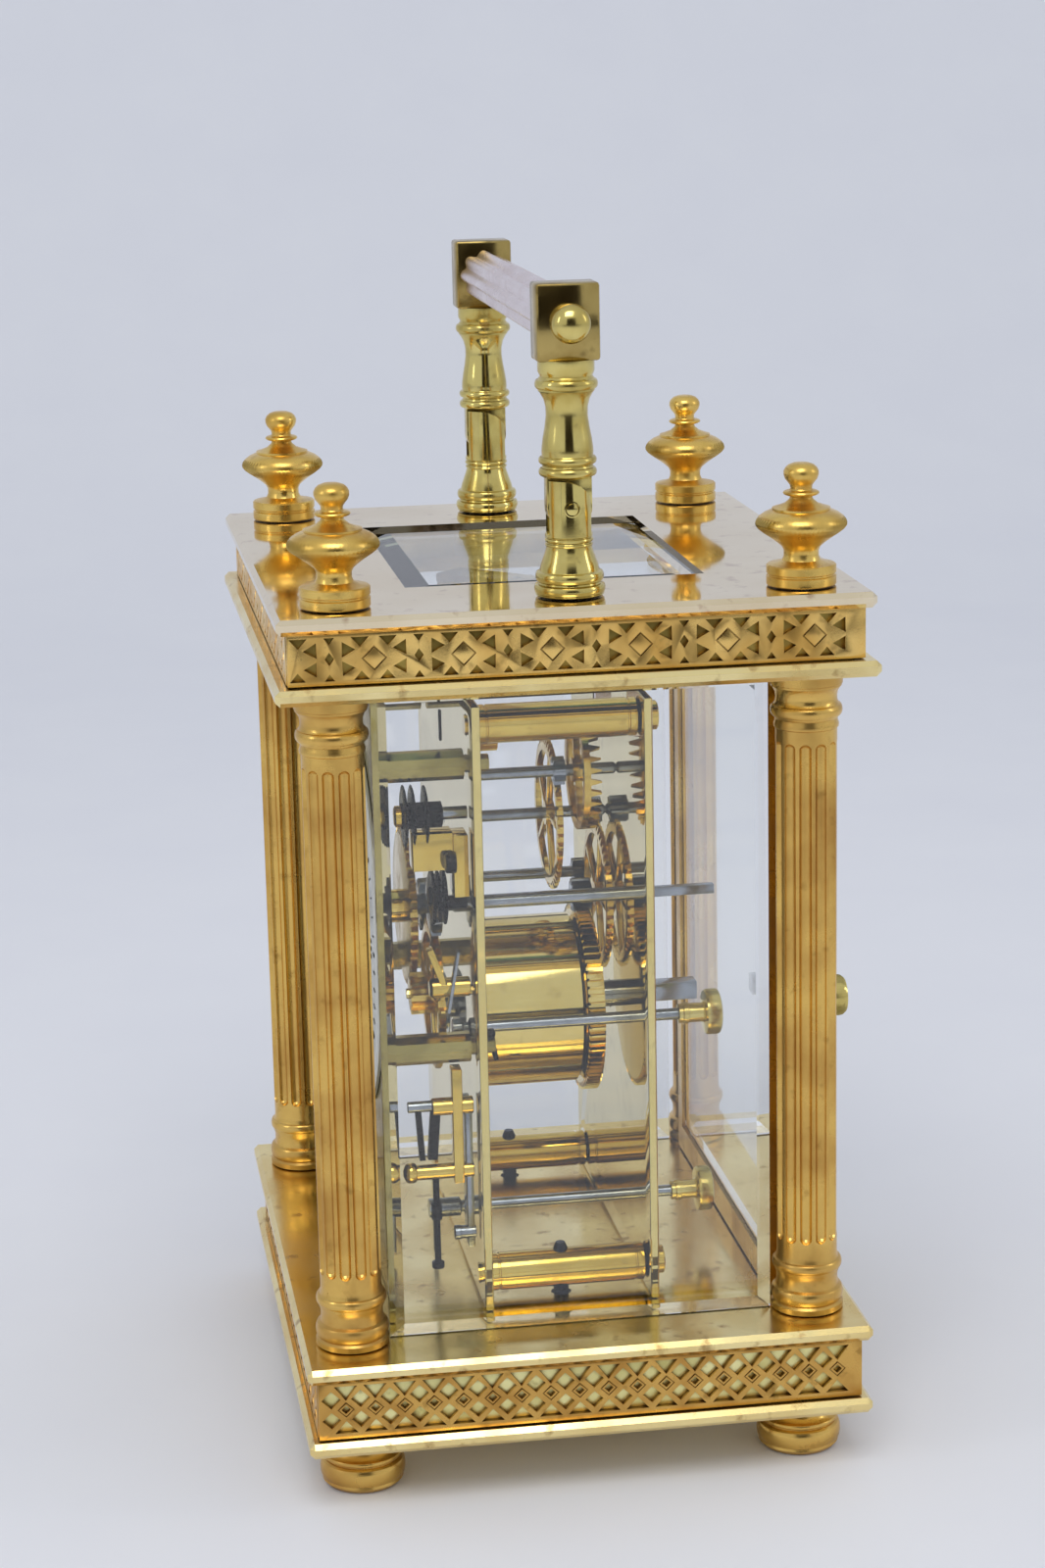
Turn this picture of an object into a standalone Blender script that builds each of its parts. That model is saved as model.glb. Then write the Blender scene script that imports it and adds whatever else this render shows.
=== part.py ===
"""A travel clock of the carriage type: four fluted columns between moulded plates with pierced frets,
bevelled glasses all round, a folding handle, and a one-barrel movement in the open.

Metres, +Z up. The dial faces -Y and the door is at +Y. The origin is on the ground, midway between the feet.
Movement pieces are modelled lying on their own axis, with local +Z towards the dial, then turned to face -Y.
"""

import math

import bmesh
import bpy
from mathutils import Matrix

# Fits that several pieces share
SEAT_GAP = 0.0001
RUNNING_GAP = 0.0003
OVERRUN = 0.0012
WELD = 0.00001
FLAT_ANGLE = math.radians(0.05)
# Rods start their facets a little off the axes, so that no edge of a cut falls on an edge of its target.
FACET_TURN = math.radians(7)

# Plates of the case
BASE_WIDTH = 0.1004
BASE_DEPTH = 0.0842
ENTABLATURE_WIDTH = 0.1006
ENTABLATURE_DEPTH = 0.0860
TOP_WIDTH = 0.0992
TOP_DEPTH = 0.0850
PLATE_THICK = 0.0024
PLATE_BEVEL = 0.0007
WALL_THICK = 0.0014

# Heights of the case, from the ground up
FOOT_HEIGHT = 0.0090
BASE_FRET_HEIGHT = 0.0091
COLUMN_HEIGHT = 0.0982
TOP_FRET_HEIGHT = 0.0074
BASE_TOP = FOOT_HEIGHT + 2 * PLATE_THICK + BASE_FRET_HEIGHT
ENTABLATURE_BOTTOM = BASE_TOP + COLUMN_HEIGHT
CASE_TOP = ENTABLATURE_BOTTOM + 2 * PLATE_THICK + TOP_FRET_HEIGHT

# Frets
FRET_THICK = 0.0012
FRET_INSET = 0.0014
FRET_RAIL = 0.0009
FRET_LAP = 0.0001
DIAMOND_PITCH = 0.0043
DIAMOND_WIDTH = 0.0026
DIAMOND_RISE_SHARE = 0.76
ROSETTE_PITCH = 0.0129
TEARDROP_WIDTH = 0.0021

# Feet
FOOT_RADIUS = 0.0064
FOOT_SPAN = 0.0762
FOOT_DEPTH_SPAN = 0.0668
FOOT_SHARES = ((0.70, 1.0), (0.72, 0.90), (0.88, 0.84), (0.88, 0.74), (0.76, 0.66), (0.96, 0.50),
               (1.0, 0.30), (0.92, 0.10), (0.74, 0.0))

# Columns
COLUMN_SPAN = 0.0794
COLUMN_DEPTH_SPAN = 0.0688
SHAFT_RADIUS = 0.0045
COLUMN_BASE_HEIGHT = 0.0078
CAPITAL_HEIGHT = 0.0066
COLUMN_BASE_SHARES = ((1.0, 1.0), (1.12, 0.82), (1.12, 0.66), (1.04, 0.58), (1.18, 0.44), (1.18, 0.0))
CAPITAL_SHARES = ((1.18, 1.0), (1.18, 0.78), (1.02, 0.66), (1.02, 0.46), (1.12, 0.30), (1.0, 0.0))
FLUTES = 12
FLUTE_RADIUS = 0.00095
FLUTE_CENTRE = 0.0047
FLUTE_MARGIN = 0.0040

# Finials
FINIAL_SPAN = 0.0820
FINIAL_DEPTH_SPAN = 0.0668
FINIAL_RADIUS = 0.0066
FINIAL_HEIGHT = 0.0177
FINIAL_SHARES = ((0.26, 0.985), (0.38, 0.91), (0.25, 0.82), (0.40, 0.76), (0.25, 0.72), (0.27, 0.67),
                 (0.62, 0.615), (1.0, 0.53), (1.0, 0.48), (0.74, 0.41), (0.40, 0.30), (0.40, 0.22),
                 (0.76, 0.165), (0.76, 0.0))

# Handle
HANDLE_SPAN = 0.0808
POST_RADIUS = 0.0053
CHEEK_TOP = 0.0164
PIN_HEIGHT = 0.0125
PIN_RADIUS = 0.0010
TONGUE_THICK = 0.0028
TONGUE_RADIUS = 0.0034
CHEEK_ROUND = 0.0039
POST_SHARES = ((0.72, 1.0), (0.72, 0.58), (0.66, 0.55), (0.74, 0.52), (0.74, 0.47), (0.66, 0.44),
               (0.76, 0.33), (0.92, 0.24), (0.92, 0.20), (0.82, 0.15), (1.0, 0.085), (1.0, 0.0))
UPRIGHT_RADIUS = 0.0048
UPRIGHT_BOTTOM = 0.0167
BLOCK_BOTTOM = 0.0331
UPRIGHT_SHARES = ((0.90, 1.0), (0.98, 0.90), (1.0, 0.80), (0.79, 0.72), (0.65, 0.57), (0.68, 0.39),
                  (0.80, 0.26), (0.88, 0.20), (0.88, 0.15), (0.79, 0.11), (0.88, 0.06), (0.88, 0.03),
                  (0.79, 0.0))
BLOCK_HEIGHT = 0.0108
BLOCK_DEPTH = 0.0090
BLOCK_THICK = 0.0056
BLOCK_BEVEL = 0.0004
GRIP_RADIUS = 0.0039
GRIP_FLUTE_DEPTH = 0.0005
GRIP_FLUTES = 8
TENON_RADIUS = 0.0015
BUTTON_RADIUS = 0.0031
BUTTON_HEIGHT = 0.0044
BUTTON_SHARES = ((0.45, 0.96), (0.82, 0.80), (1.0, 0.52), (0.86, 0.28), (0.62, 0.18), (0.62, 0.0))

# Glasses and door
GLASS_THICK = 0.0020
GLASS_BEVEL = 0.0030
GLASS_BEVEL_DROP = 0.0008
SIDE_GLASS_OUT = 0.0402
SIDE_GLASS_WIDTH = 0.0576
FRONT_GLASS_OUT = 0.0323
FRONT_GLASS_WIDTH = 0.0690
TOP_GLASS_WIDTH = 0.0590
TOP_GLASS_DEPTH = 0.0470
TOP_GLASS_THICK = 0.0038
TOP_GLASS_BEVEL = 0.0042
TOP_GLASS_DROP = 0.0014
APERTURE_WIDTH = 0.0560
APERTURE_DEPTH = 0.0440
REBATE_DEPTH = 0.0012
ENTABLATURE_OPENING_WIDTH = 0.0700
ENTABLATURE_OPENING_DEPTH = 0.0540
DOOR_WIDTH = 0.0680
DOOR_THICK = 0.0026
DOOR_STILE = 0.0030
DOOR_RAIL = 0.0042
DOOR_INSIDE = 0.0296
DOOR_GLASS_THICK = 0.0014
DOOR_GLASS_BEVEL_DROP = 0.0005
DOOR_HINGE_INSET = 0.0016
DOOR_PIN_RADIUS = 0.0008
DOOR_PIN_LENGTH = 0.0016
KNOB_RADIUS = 0.0036
KNOB_LENGTH = 0.0098
KNOB_HEIGHT = 0.0690
KNOB_SHARES = ((0.86, 1.0), (1.0, 0.92), (1.0, 0.62), (0.86, 0.54), (0.40, 0.50), (0.40, 0.20), (0.60, 0.12),
               (0.60, 0.0))

# Movement frame. Depths are measured forward from the middle of the clock, so behind it they are negative.
MOVEMENT_WIDTH = 0.0640
MOVEMENT_TOP = 0.1160
MOVEMENT_FOOT_GAP = SEAT_GAP
MOVEMENT_PLATE_THICK = 0.0017
FRONT_PLATE_BACK = 0.0122
BACK_PLATE_FRONT = -0.0119
FRONT_PLATE_FACE = FRONT_PLATE_BACK + MOVEMENT_PLATE_THICK
BACK_PLATE_FACE = BACK_PLATE_FRONT - MOVEMENT_PLATE_THICK
PILLAR_RADIUS = 0.0029
PILLAR_SPAN = 0.0520
PILLAR_LOW = 0.0268
PILLAR_HIGH = 0.1122
PILLAR_TENON_RADIUS = 0.0015
PILLAR_HEAD_RADIUS = 0.0022
PILLAR_HEAD_HEIGHT = 0.0012
SCREW_RADIUS = 0.0012
SCREW_HEAD_RADIUS = 0.0024
SCREW_HEAD_HEIGHT = 0.0016
SCREW_FORWARD = 0.0010
SCREW_TIP = 0.0012

# Dial and its plate
DIAL_CENTRE_HEIGHT = 0.0782
DIAL_PLATE_WIDTH = 0.0680
DIAL_PLATE_TOP = 0.1205
DIAL_PLATE_BACK = 0.0262
DIAL_PLATE_THICK = 0.0010
DIAL_RADIUS = 0.0300
DIAL_THICK = 0.0009
DIAL_FOOT_RADIUS = 0.0023
DIAL_FOOT_TENON_RADIUS = 0.0013
DIAL_FOOT_SPAN = 0.0500
DIAL_FOOT_LOW = 0.0627
DIAL_FOOT_HIGH = 0.1062
DIAL_FOOT_END = 0.0102

# Gears: teeth, and the distances that set their pitch circles
BARREL_TEETH = 72
CENTRE_LEAVES = 12
CENTRE_TEETH = 48
THIRD_LEAVES = 8
THIRD_TEETH = 48
CONTRATE_LEAVES = 8
CONTRATE_TEETH = 32
ESCAPE_LEAVES = 6
IDLER_LEAVES = 8
CANNON_TEETH = 12
MINUTE_TEETH = 36
MINUTE_LEAVES = 12
HOUR_TEETH = 48
SETTING_TEETH = 14
BARREL_TO_CENTRE = 0.0165
CENTRE_TO_THIRD = 0.0132
THIRD_TO_CONTRATE = 0.0135
CENTRE_TO_MINUTE = 0.0150
CONTRATE_RADIUS = 0.0092
CONTRATE_PITCH = 0.0087
THIRD_ANGLE = math.radians(98)
CONTRATE_ANGLE = math.radians(42)
IDLER_ANGLE = math.radians(179)
MINUTE_ANGLE = math.radians(-49.5)
SETTING_ANGLE = math.radians(74.4)

# Wheels and arbors
ARBOR_RADIUS = 0.0009
PIVOT_RADIUS = 0.0005
WHEEL_THICK = 0.0010
GREAT_WHEEL_THICK = 0.0026
GREAT_WHEEL_FORWARD = -0.0075
CENTRE_WHEEL_FORWARD = -0.0103
THIRD_WHEEL_FORWARD = -0.0030
CONTRATE_WHEEL_FORWARD = -0.0060
CONTRATE_TOOTH_HEIGHT = 0.0016
CONTRATE_TOOTH_FACE = 0.0009
CONTRATE_TOOTH_SHARE = 0.62
RIM_WIDTH = 0.0012
HUB_RADIUS = 0.0019
SPOKE_WIDTH = 0.0009
SPOKES = 5
BARREL_RADIUS = 0.0135
BARREL_ARBOR_RADIUS = 0.0021
WINDING_SQUARE = 0.0041
WINDING_SQUARE_END = -0.0257
RATCHET_RADIUS = 0.0058
RATCHET_THICK = 0.0011
RATCHET_TEETH = 18
RATCHET_DEPTH_SHARE = 0.14
CENTRE_ARBOR_END = 0.0292

# Motion work behind the dial
SETTING_LAYER = 0.0174
MOTION_THICK = 0.0012
HOUR_LAYER = 0.0202
STUD_RADIUS = 0.0008
STUD_END = 0.0216
CANNON_RADIUS = 0.0016
CANNON_END = 0.0299
CENTRE_POST_RADIUS = 0.0009
HOUR_PIPE_RADIUS = 0.0026
HOUR_PIPE_END = 0.0288
DIAL_HOLE_RADIUS = 0.0031
HAND_THICK = 0.0003
HAND_FIT = 0.00008
HOUR_HAND_FORWARD = 0.0286
MINUTE_HAND_FORWARD = 0.0297
HOUR_HAND_LENGTH = 0.0165
MINUTE_HAND_LENGTH = 0.0245
HAND_WIDTH = 0.0016

# Arbors that come out at the back, by their place in the plates
SETTING_SQUARE = 0.0020
SETTING_ARBOR_RADIUS = 0.00105
SETTING_ARBOR_END = -0.0258
ALARM_ACROSS = 0.0170
ALARM_HEIGHT = 0.0630
STOP_ACROSS = 0.0095
STOP_HEIGHT = 0.0315
KNOB_ARBOR_RADIUS = 0.0009
KNOB_COLLAR_RADIUS = 0.0015
ALARM_KNOB_RADIUS = 0.0035
KNOB_WHEEL_THICK = 0.0024
KNOB_COLLAR_LENGTH = 0.0040
KNOB_ARBOR_END = -0.0259
ALARM_ARBOR_FRONT = 0.0155
STOP_ARBOR_FRONT = 0.0190
STOP_LEVER_LENGTH = 0.0072
STOP_LEVER_WIDTH = 0.0018

# Platform escapement on top of the movement
PLATFORM_WIDTH = 0.0330
PLATFORM_THICK = 0.0014
CONTRATE_PITCH_SHARE = 0.56
ESCAPE_RADIUS = 0.0034
ESCAPE_TEETH = 15
ESCAPE_DEPTH_SHARE = 0.30
ESCAPE_LIFT = 0.0012
ESCAPE_THICK = 0.0004
ESCAPE_ARBOR_RADIUS = 0.0005
ESCAPE_TOP = 0.0024
ESCAPE_TO_LEVER = 0.0052
ESCAPE_TO_BALANCE = 0.0140
ESCAPEMENT_TURN = math.radians(46)
LEVER_LENGTH = 0.0068
LEVER_WIDTH = 0.0010
PALLET_REACH = 0.0017
PALLET_SPAN = 0.0044
PALLET_WIDTH = 0.0006
BALANCE_RADIUS = 0.0078
BALANCE_THICK = 0.0009
BALANCE_RIM = 0.0010
BALANCE_LIFT = 0.0048
BALANCE_STAFF_RADIUS = 0.0005
COCK_GAP = 0.0010
COCK_THICK = 0.0012
COCK_WIDTH = 0.0060
COCK_FOOT = 0.0050
COCK_END_RADIUS = 0.0029
BRACKET_BOTTOM = 0.1060
BRACKET_THICK = 0.0012
BRACKET_WIDTH = 0.0024
BRACKET_REACH = 0.0036
BRACKET_SHIFT = 0.0004

# Facets
ROUND_STEPS = 10
COLUMN_STEPS = 14
PIVOT_STEPS = 8


def collection(name):
    """A new collection in the scene."""
    made = bpy.data.collections.new(name)
    bpy.context.scene.collection.children.link(made)
    return made


def clear_scene():
    for found in list(bpy.data.objects):
        bpy.data.objects.remove(found)
    for found in list(bpy.data.collections):
        bpy.data.collections.remove(found)


clear_scene()
CLOCK = collection("travel_clock")
CUTTERS = collection("cutters")


def material(name, colour, roughness, metallic, transmission=0.0):
    """A Principled material with one colour, roughness and metallic value."""
    made = bpy.data.materials.new(name)
    made.use_nodes = True
    shader = made.node_tree.nodes["Principled BSDF"]
    shader.inputs["Base Color"].default_value = (*colour, 1.0)
    shader.inputs["Roughness"].default_value = roughness
    shader.inputs["Metallic"].default_value = metallic
    shader.inputs["Transmission Weight"].default_value = transmission
    made.diffuse_color = (*colour, 1.0)
    return made


GILT = material("gilt_brass", (0.62, 0.38, 0.09), 0.32, 1.0)
POLISHED = material("polished_brass", (0.72, 0.58, 0.24), 0.12, 1.0)
FRET_BRASS = material("fret_brass", (0.66, 0.44, 0.15), 0.38, 1.0)
STEEL = material("polished_steel", (0.45, 0.46, 0.48), 0.22, 1.0)
BLUED = material("blued_steel", (0.02, 0.03, 0.10), 0.30, 1.0)
GLASS = material("bevelled_glass", (0.86, 0.93, 0.91), 0.02, 0.0, 1.0)
ENAMEL = material("dial_enamel", (0.90, 0.89, 0.84), 0.15, 0.0)
SILVERED = material("silvered_brass", (0.72, 0.63, 0.58), 0.28, 1.0)


def place(obj, location=(0, 0, 0), rotation=(0, 0, 0), parent=None):
    """Places an object by its parent-free location and rotation, and then hangs it on its parent."""
    obj.location = location
    obj.rotation_euler = rotation
    if parent:
        obj.parent = parent
        obj.matrix_parent_inverse = Matrix.Translation(parent.location).inverted()
    return obj


def add_part(name, mesh, look, **where):
    obj = bpy.data.objects.new(name, mesh)
    CLOCK.objects.link(obj)
    mesh.materials.clear()
    mesh.materials.append(look)
    return place(obj, **where)


def add_tool(name, mesh, **where):
    """A cutter or a piece to be joined, kept out of the render."""
    obj = bpy.data.objects.new(name, mesh)
    CUTTERS.objects.link(obj)
    obj.hide_render = True
    obj.display_type = "WIRE"
    return place(obj, **where)


def joint_empty(name, location):
    obj = bpy.data.objects.new(name, None)
    CLOCK.objects.link(obj)
    return place(obj, location)


def combine(obj, tool, operation):
    modifier = obj.modifiers.new(tool.name, "BOOLEAN")
    modifier.operation = operation
    modifier.object = tool
    return obj


def cut(obj, *tools):
    for tool in tools:
        combine(obj, tool, "DIFFERENCE")
    return obj


def join(obj, *tools):
    for tool in tools:
        combine(obj, tool, "UNION")
    return obj


def applied_mesh(obj):
    graph = bpy.context.evaluated_depsgraph_get()
    return bpy.data.meshes.new_from_object(obj.evaluated_get(graph))


def settled_mesh(obj):
    """The object's mesh with its modifiers applied and its flat areas cleared of needless edges."""
    return flat_cleared(applied_mesh(obj))


def flat_cleared(mesh):
    shape = bmesh.new()
    shape.from_mesh(mesh)
    bmesh.ops.dissolve_limit(shape, verts=shape.verts, edges=shape.edges, angle_limit=FLAT_ANGLE)
    shape.to_mesh(mesh)
    shape.free()
    return mesh


def smooth(mesh):
    mesh.shade_smooth()
    mesh.set_sharp_from_angle(angle=math.radians(35))
    return mesh


def box_mesh(name, size, centre=(0, 0, 0)):
    mesh = bpy.data.meshes.new(name)
    shape = bmesh.new()
    bmesh.ops.create_cube(shape, size=1.0, matrix=Matrix.Translation(centre) @ Matrix.Diagonal((*size, 1.0)))
    shape.to_mesh(mesh)
    shape.free()
    return mesh


def rod_mesh(name, radius, start, end, steps=PIVOT_STEPS):
    """A cylinder round local Z, from one height to another."""
    mesh = bpy.data.meshes.new(name)
    shape = bmesh.new()
    middle = Matrix.Translation((0, 0, (start + end) / 2)) @ Matrix.Rotation(FACET_TURN, 4, "Z")
    bmesh.ops.create_cone(shape, cap_ends=True, segments=steps, radius1=radius, radius2=radius,
                          depth=abs(end - start), matrix=middle)
    shape.to_mesh(mesh)
    shape.free()
    return mesh


def hole_mesh(name, radius, start, end, steps=PIVOT_STEPS):
    """A cutter for a round hole. Its flats lie at the radius, so a round piece turns freely within it."""
    return rod_mesh(name, radius / math.cos(math.pi / steps), start, end, steps)


def turned_mesh(name, profile, steps=ROUND_STEPS):
    """Revolves (radius, height) points, listed from top to bottom, round local Z."""
    mesh = bpy.data.meshes.new(name)
    shape = bmesh.new()
    ends = [(0, profile[0][1]), *profile, (0, profile[-1][1])]
    corners = [shape.verts.new((radius, 0, height)) for radius, height in ends]
    for first, second in zip(corners, corners[1:]):
        shape.edges.new((first, second))
    shape.to_mesh(mesh)
    shape.free()
    lathe = bpy.data.objects.new(name + "_profile", mesh)
    CUTTERS.objects.link(lathe)
    screw = lathe.modifiers.new("Turn", "SCREW")
    screw.steps = steps
    screw.render_steps = steps
    screw.use_merge_vertices = True
    screw.merge_threshold = WELD
    made = applied_mesh(lathe)
    bpy.data.objects.remove(lathe)
    return smooth(made)


def profile_of(shares, radius, height, bottom=0):
    """Points of a turned profile from shares of its radius and height, top first."""
    return [(radius * across, bottom + height * up) for across, up in shares]


def outline_mesh(name, loops, bottom, top):
    """Closed outlines in local XY, filled with the inner ones as holes and given a thickness."""
    curve = bpy.data.curves.new(name, "CURVE")
    curve.dimensions = "2D"
    curve.fill_mode = "BOTH"
    curve.extrude = (top - bottom) / 2
    for loop in loops:
        spline = curve.splines.new("POLY")
        spline.points.add(len(loop) - 1)
        spline.use_cyclic_u = True
        for point, (across, up) in zip(spline.points, loop):
            point.co = (across, up, 0, 1)
    drawn = bpy.data.objects.new(name + "_outline", curve)
    CUTTERS.objects.link(drawn)
    made = applied_mesh(drawn)
    bpy.data.objects.remove(drawn)
    shape = bmesh.new()
    shape.from_mesh(made)
    bmesh.ops.remove_doubles(shape, verts=shape.verts, dist=WELD)
    bmesh.ops.dissolve_degenerate(shape, edges=shape.edges, dist=WELD)
    bmesh.ops.translate(shape, verts=shape.verts, vec=(0, 0, (top + bottom) / 2))
    bmesh.ops.recalc_face_normals(shape, faces=shape.faces)
    shape.to_mesh(made)
    shape.free()
    return flat_cleared(made)


def circle_points(radius, count, centre=(0, 0), start=0):
    steps = [start + 2 * math.pi * i / count for i in range(count)]
    return [(centre[0] + radius * math.cos(turn), centre[1] + radius * math.sin(turn)) for turn in steps]


def polar(radius, turn):
    return (radius * math.cos(turn), radius * math.sin(turn))


def moved(point, distance, turn):
    return (point[0] + distance * math.cos(turn), point[1] + distance * math.sin(turn))


def bevelled(obj, width, segments=1):
    modifier = obj.modifiers.new("Bevel", "BEVEL")
    modifier.width = width
    modifier.segments = segments
    modifier.limit_method = "ANGLE"
    return obj


def slab(name, width, depth, bottom, look):
    """A plate of the case with eased edges, lying on the given height."""
    mesh = box_mesh(name, (width, depth, PLATE_THICK - SEAT_GAP), (0, 0, (PLATE_THICK - SEAT_GAP) / 2))
    return bevelled(add_part(name, mesh, look, location=(0, 0, bottom)), PLATE_BEVEL)


def corners(width, depth):
    """Names and places of four like pieces, on the corners of a rectangle."""
    for side, across in (("left", -1), ("right", 1)):
        for end, along in (("front", -1), ("back", 1)):
            yield f"{end}_{side}", (across * width / 2, along * depth / 2)


# Case: the base, from the ground up
def build_feet():
    profile = profile_of(FOOT_SHARES, FOOT_RADIUS, FOOT_HEIGHT - SEAT_GAP)
    mesh = turned_mesh("foot", profile)
    for corner, (x, y) in corners(FOOT_SPAN, FOOT_DEPTH_SPAN):
        add_part(f"foot_{corner}", mesh, GILT, location=(x, y, 0))


def fret_outside(width, depth):
    return width - 2 * FRET_INSET, depth - 2 * FRET_INSET


def backing_size(width, depth):
    """Outside of the plain walls that stand behind a fret."""
    inwards = 2 * (FRET_THICK + RUNNING_GAP)
    outside = fret_outside(width, depth)
    return outside[0] - inwards, outside[1] - inwards


def add_backing(tray, width, depth, height):
    """Plain walls behind a fret, standing on their plate."""
    outer = backing_size(width, depth)
    inner = (outer[0] - 2 * WALL_THICK, outer[1] - 2 * WALL_THICK)
    start = PLATE_THICK / 2
    end = PLATE_THICK + height - SEAT_GAP
    solid = box_mesh("walls", (*outer, end - start), (0, 0, (start + end) / 2))
    hollow_top = end + OVERRUN
    hollow_bottom = PLATE_THICK - SEAT_GAP
    space = (*inner, hollow_top - hollow_bottom)
    hollow = box_mesh("hollow", space, (0, 0, (hollow_top + hollow_bottom) / 2))
    join(tray, add_tool(tray.name + "_walls", solid, location=tray.location))
    cut(tray, add_tool(tray.name + "_hollow", hollow, location=tray.location))


def build_base():
    tray = slab("base_tray", BASE_WIDTH, BASE_DEPTH, FOOT_HEIGHT, GILT)
    add_backing(tray, BASE_WIDTH, BASE_DEPTH, BASE_FRET_HEIGHT)
    top = slab("base_top_plate", BASE_WIDTH, BASE_DEPTH, BASE_TOP - PLATE_THICK, POLISHED)
    for number, across in enumerate((-1, 1)):
        hole = hole_mesh("hole", SCREW_RADIUS + RUNNING_GAP, -OVERRUN, PLATE_THICK + OVERRUN)
        where = (across * PILLAR_SPAN / 2, -SCREW_FORWARD, BASE_TOP - PLATE_THICK)
        cut(top, add_tool(f"base_screw_hole_{number}", hole, location=where))


def diamond(centre, width, height):
    x, y = centre
    return [(x - width / 2, y), (x, y - height / 2), (x + width / 2, y), (x, y + height / 2)]


def lattice_holes(length, height):
    """Two rows of diamond holes along one side of the base fret."""
    count = int((length - 2 * FRET_RAIL) / DIAMOND_PITCH)
    rise = (height - 2 * FRET_RAIL) / 2
    for i in range(count):
        x = (i - (count - 1) / 2) * DIAMOND_PITCH
        for row in (-1, 1):
            yield diamond((x, row * rise / 2), DIAMOND_WIDTH, rise * DIAMOND_RISE_SHARE)


def quatrefoil_holes(length, height):
    """Four teardrop holes round each crossing of the top fret, between rosettes."""
    count = int(length / ROSETTE_PITCH)
    reach = (height - 2 * FRET_RAIL) / 2
    for i in range(count):
        x = (i - (count - 1) / 2) * ROSETTE_PITCH
        for across in (-1, 1):
            for up in (-1, 1):
                near = (x + across * reach * 0.30, up * reach * 0.24)
                far = (x + across * reach * 0.98, up * reach * 0.86)
                middle = (x + across * reach * 0.78, up * reach * 0.58)
                side = TEARDROP_WIDTH / 2
                yield [near, (middle[0] + across * side / 2, middle[1] - up * side / 2), far,
                       (middle[0] - across * side / 2, middle[1] + up * side / 2)]


def fret_strip(name, length, height, holes, trim=0):
    """A pierced strip lying on local XY. The trim shortens its edges, but not the space for its holes."""
    right = length / 2 - trim
    up = height / 2 - trim
    outline = [(-right, -up), (right, -up), (right, up), (-right, up)]
    return outline_mesh(name, [outline, *holes(length - 2 * FRET_THICK, height)], 0, FRET_THICK)


def build_fret(name, width, depth, bottom, space, holes):
    """A pierced band: two long strips, and two short ones whose ends lap into them inside every edge."""
    height = space - 2 * SEAT_GAP
    outside = fret_outside(width, depth)
    upright = math.radians(90)
    turned = 2 * upright
    front = fret_strip(name, outside[0], height, holes)
    side = fret_strip(name + "_side", outside[1], height, holes, FRET_LAP)
    level = bottom + SEAT_GAP + height / 2
    across = outside[0] / 2 - FRET_THICK - FRET_LAP
    along = outside[1] / 2 - FRET_THICK
    place_front = {"location": (0, -along, level), "rotation": (upright, 0, 0)}
    band = add_tool(name + "_front", front, **place_front)
    back = add_tool(name + "_back", front.copy(), location=(0, along, level), rotation=(upright, 0, turned))
    left = add_tool(name + "_left", side, location=(-across, 0, level), rotation=(upright, 0, -upright))
    right = add_tool(name + "_right", side, location=(across, 0, level), rotation=(upright, 0, upright))
    join(band, left, right, back)
    add_part(name, settled_mesh(band), FRET_BRASS, **place_front)


# Case: columns, entablature and top
def build_columns():
    height = COLUMN_HEIGHT - 2 * SEAT_GAP
    capital_bottom = height - CAPITAL_HEIGHT
    profile = profile_of(CAPITAL_SHARES, SHAFT_RADIUS, CAPITAL_HEIGHT, capital_bottom)
    profile += profile_of(COLUMN_BASE_SHARES, SHAFT_RADIUS, COLUMN_BASE_HEIGHT)
    blank = add_tool("column_blank", turned_mesh("column", profile, COLUMN_STEPS))
    cut(blank, flute_cutters(COLUMN_BASE_HEIGHT + FLUTE_MARGIN, capital_bottom - FLUTE_MARGIN / 2))
    mesh = smooth(settled_mesh(blank))
    for corner, (x, y) in corners(COLUMN_SPAN, COLUMN_DEPTH_SPAN):
        add_part(f"column_{corner}", mesh, GILT, location=(x, y, BASE_TOP))


def flute_cutters(bottom, top):
    """Pointed rods set round the shaft, one for each flute."""
    mesh = bpy.data.meshes.new("flutes")
    shape = bmesh.new()
    stretch = (top - bottom) / 2 - FLUTE_RADIUS
    for i in range(FLUTES):
        turn = Matrix.Rotation(2 * math.pi * (i + 0.5) / FLUTES, 4, "Z")
        where = turn @ Matrix.Translation((FLUTE_CENTRE, 0, (top + bottom) / 2))
        made = bmesh.ops.create_uvsphere(shape, u_segments=4, v_segments=3, radius=FLUTE_RADIUS)
        for vert in made["verts"]:
            vert.co.z += math.copysign(stretch, vert.co.z)
        bmesh.ops.transform(shape, verts=made["verts"], matrix=where)
    shape.to_mesh(mesh)
    shape.free()
    return add_tool("flute_cutters", mesh)


def build_entablature():
    tray = slab("entablature_tray", ENTABLATURE_WIDTH, ENTABLATURE_DEPTH, ENTABLATURE_BOTTOM, POLISHED)
    add_backing(tray, TOP_WIDTH, TOP_DEPTH, TOP_FRET_HEIGHT)
    size = (ENTABLATURE_OPENING_WIDTH, ENTABLATURE_OPENING_DEPTH, PLATE_THICK + 2 * OVERRUN)
    opening = box_mesh("opening", size)
    where = (0, 0, ENTABLATURE_BOTTOM + PLATE_THICK / 2)
    cut(tray, add_tool("entablature_opening", opening, location=where))


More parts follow.
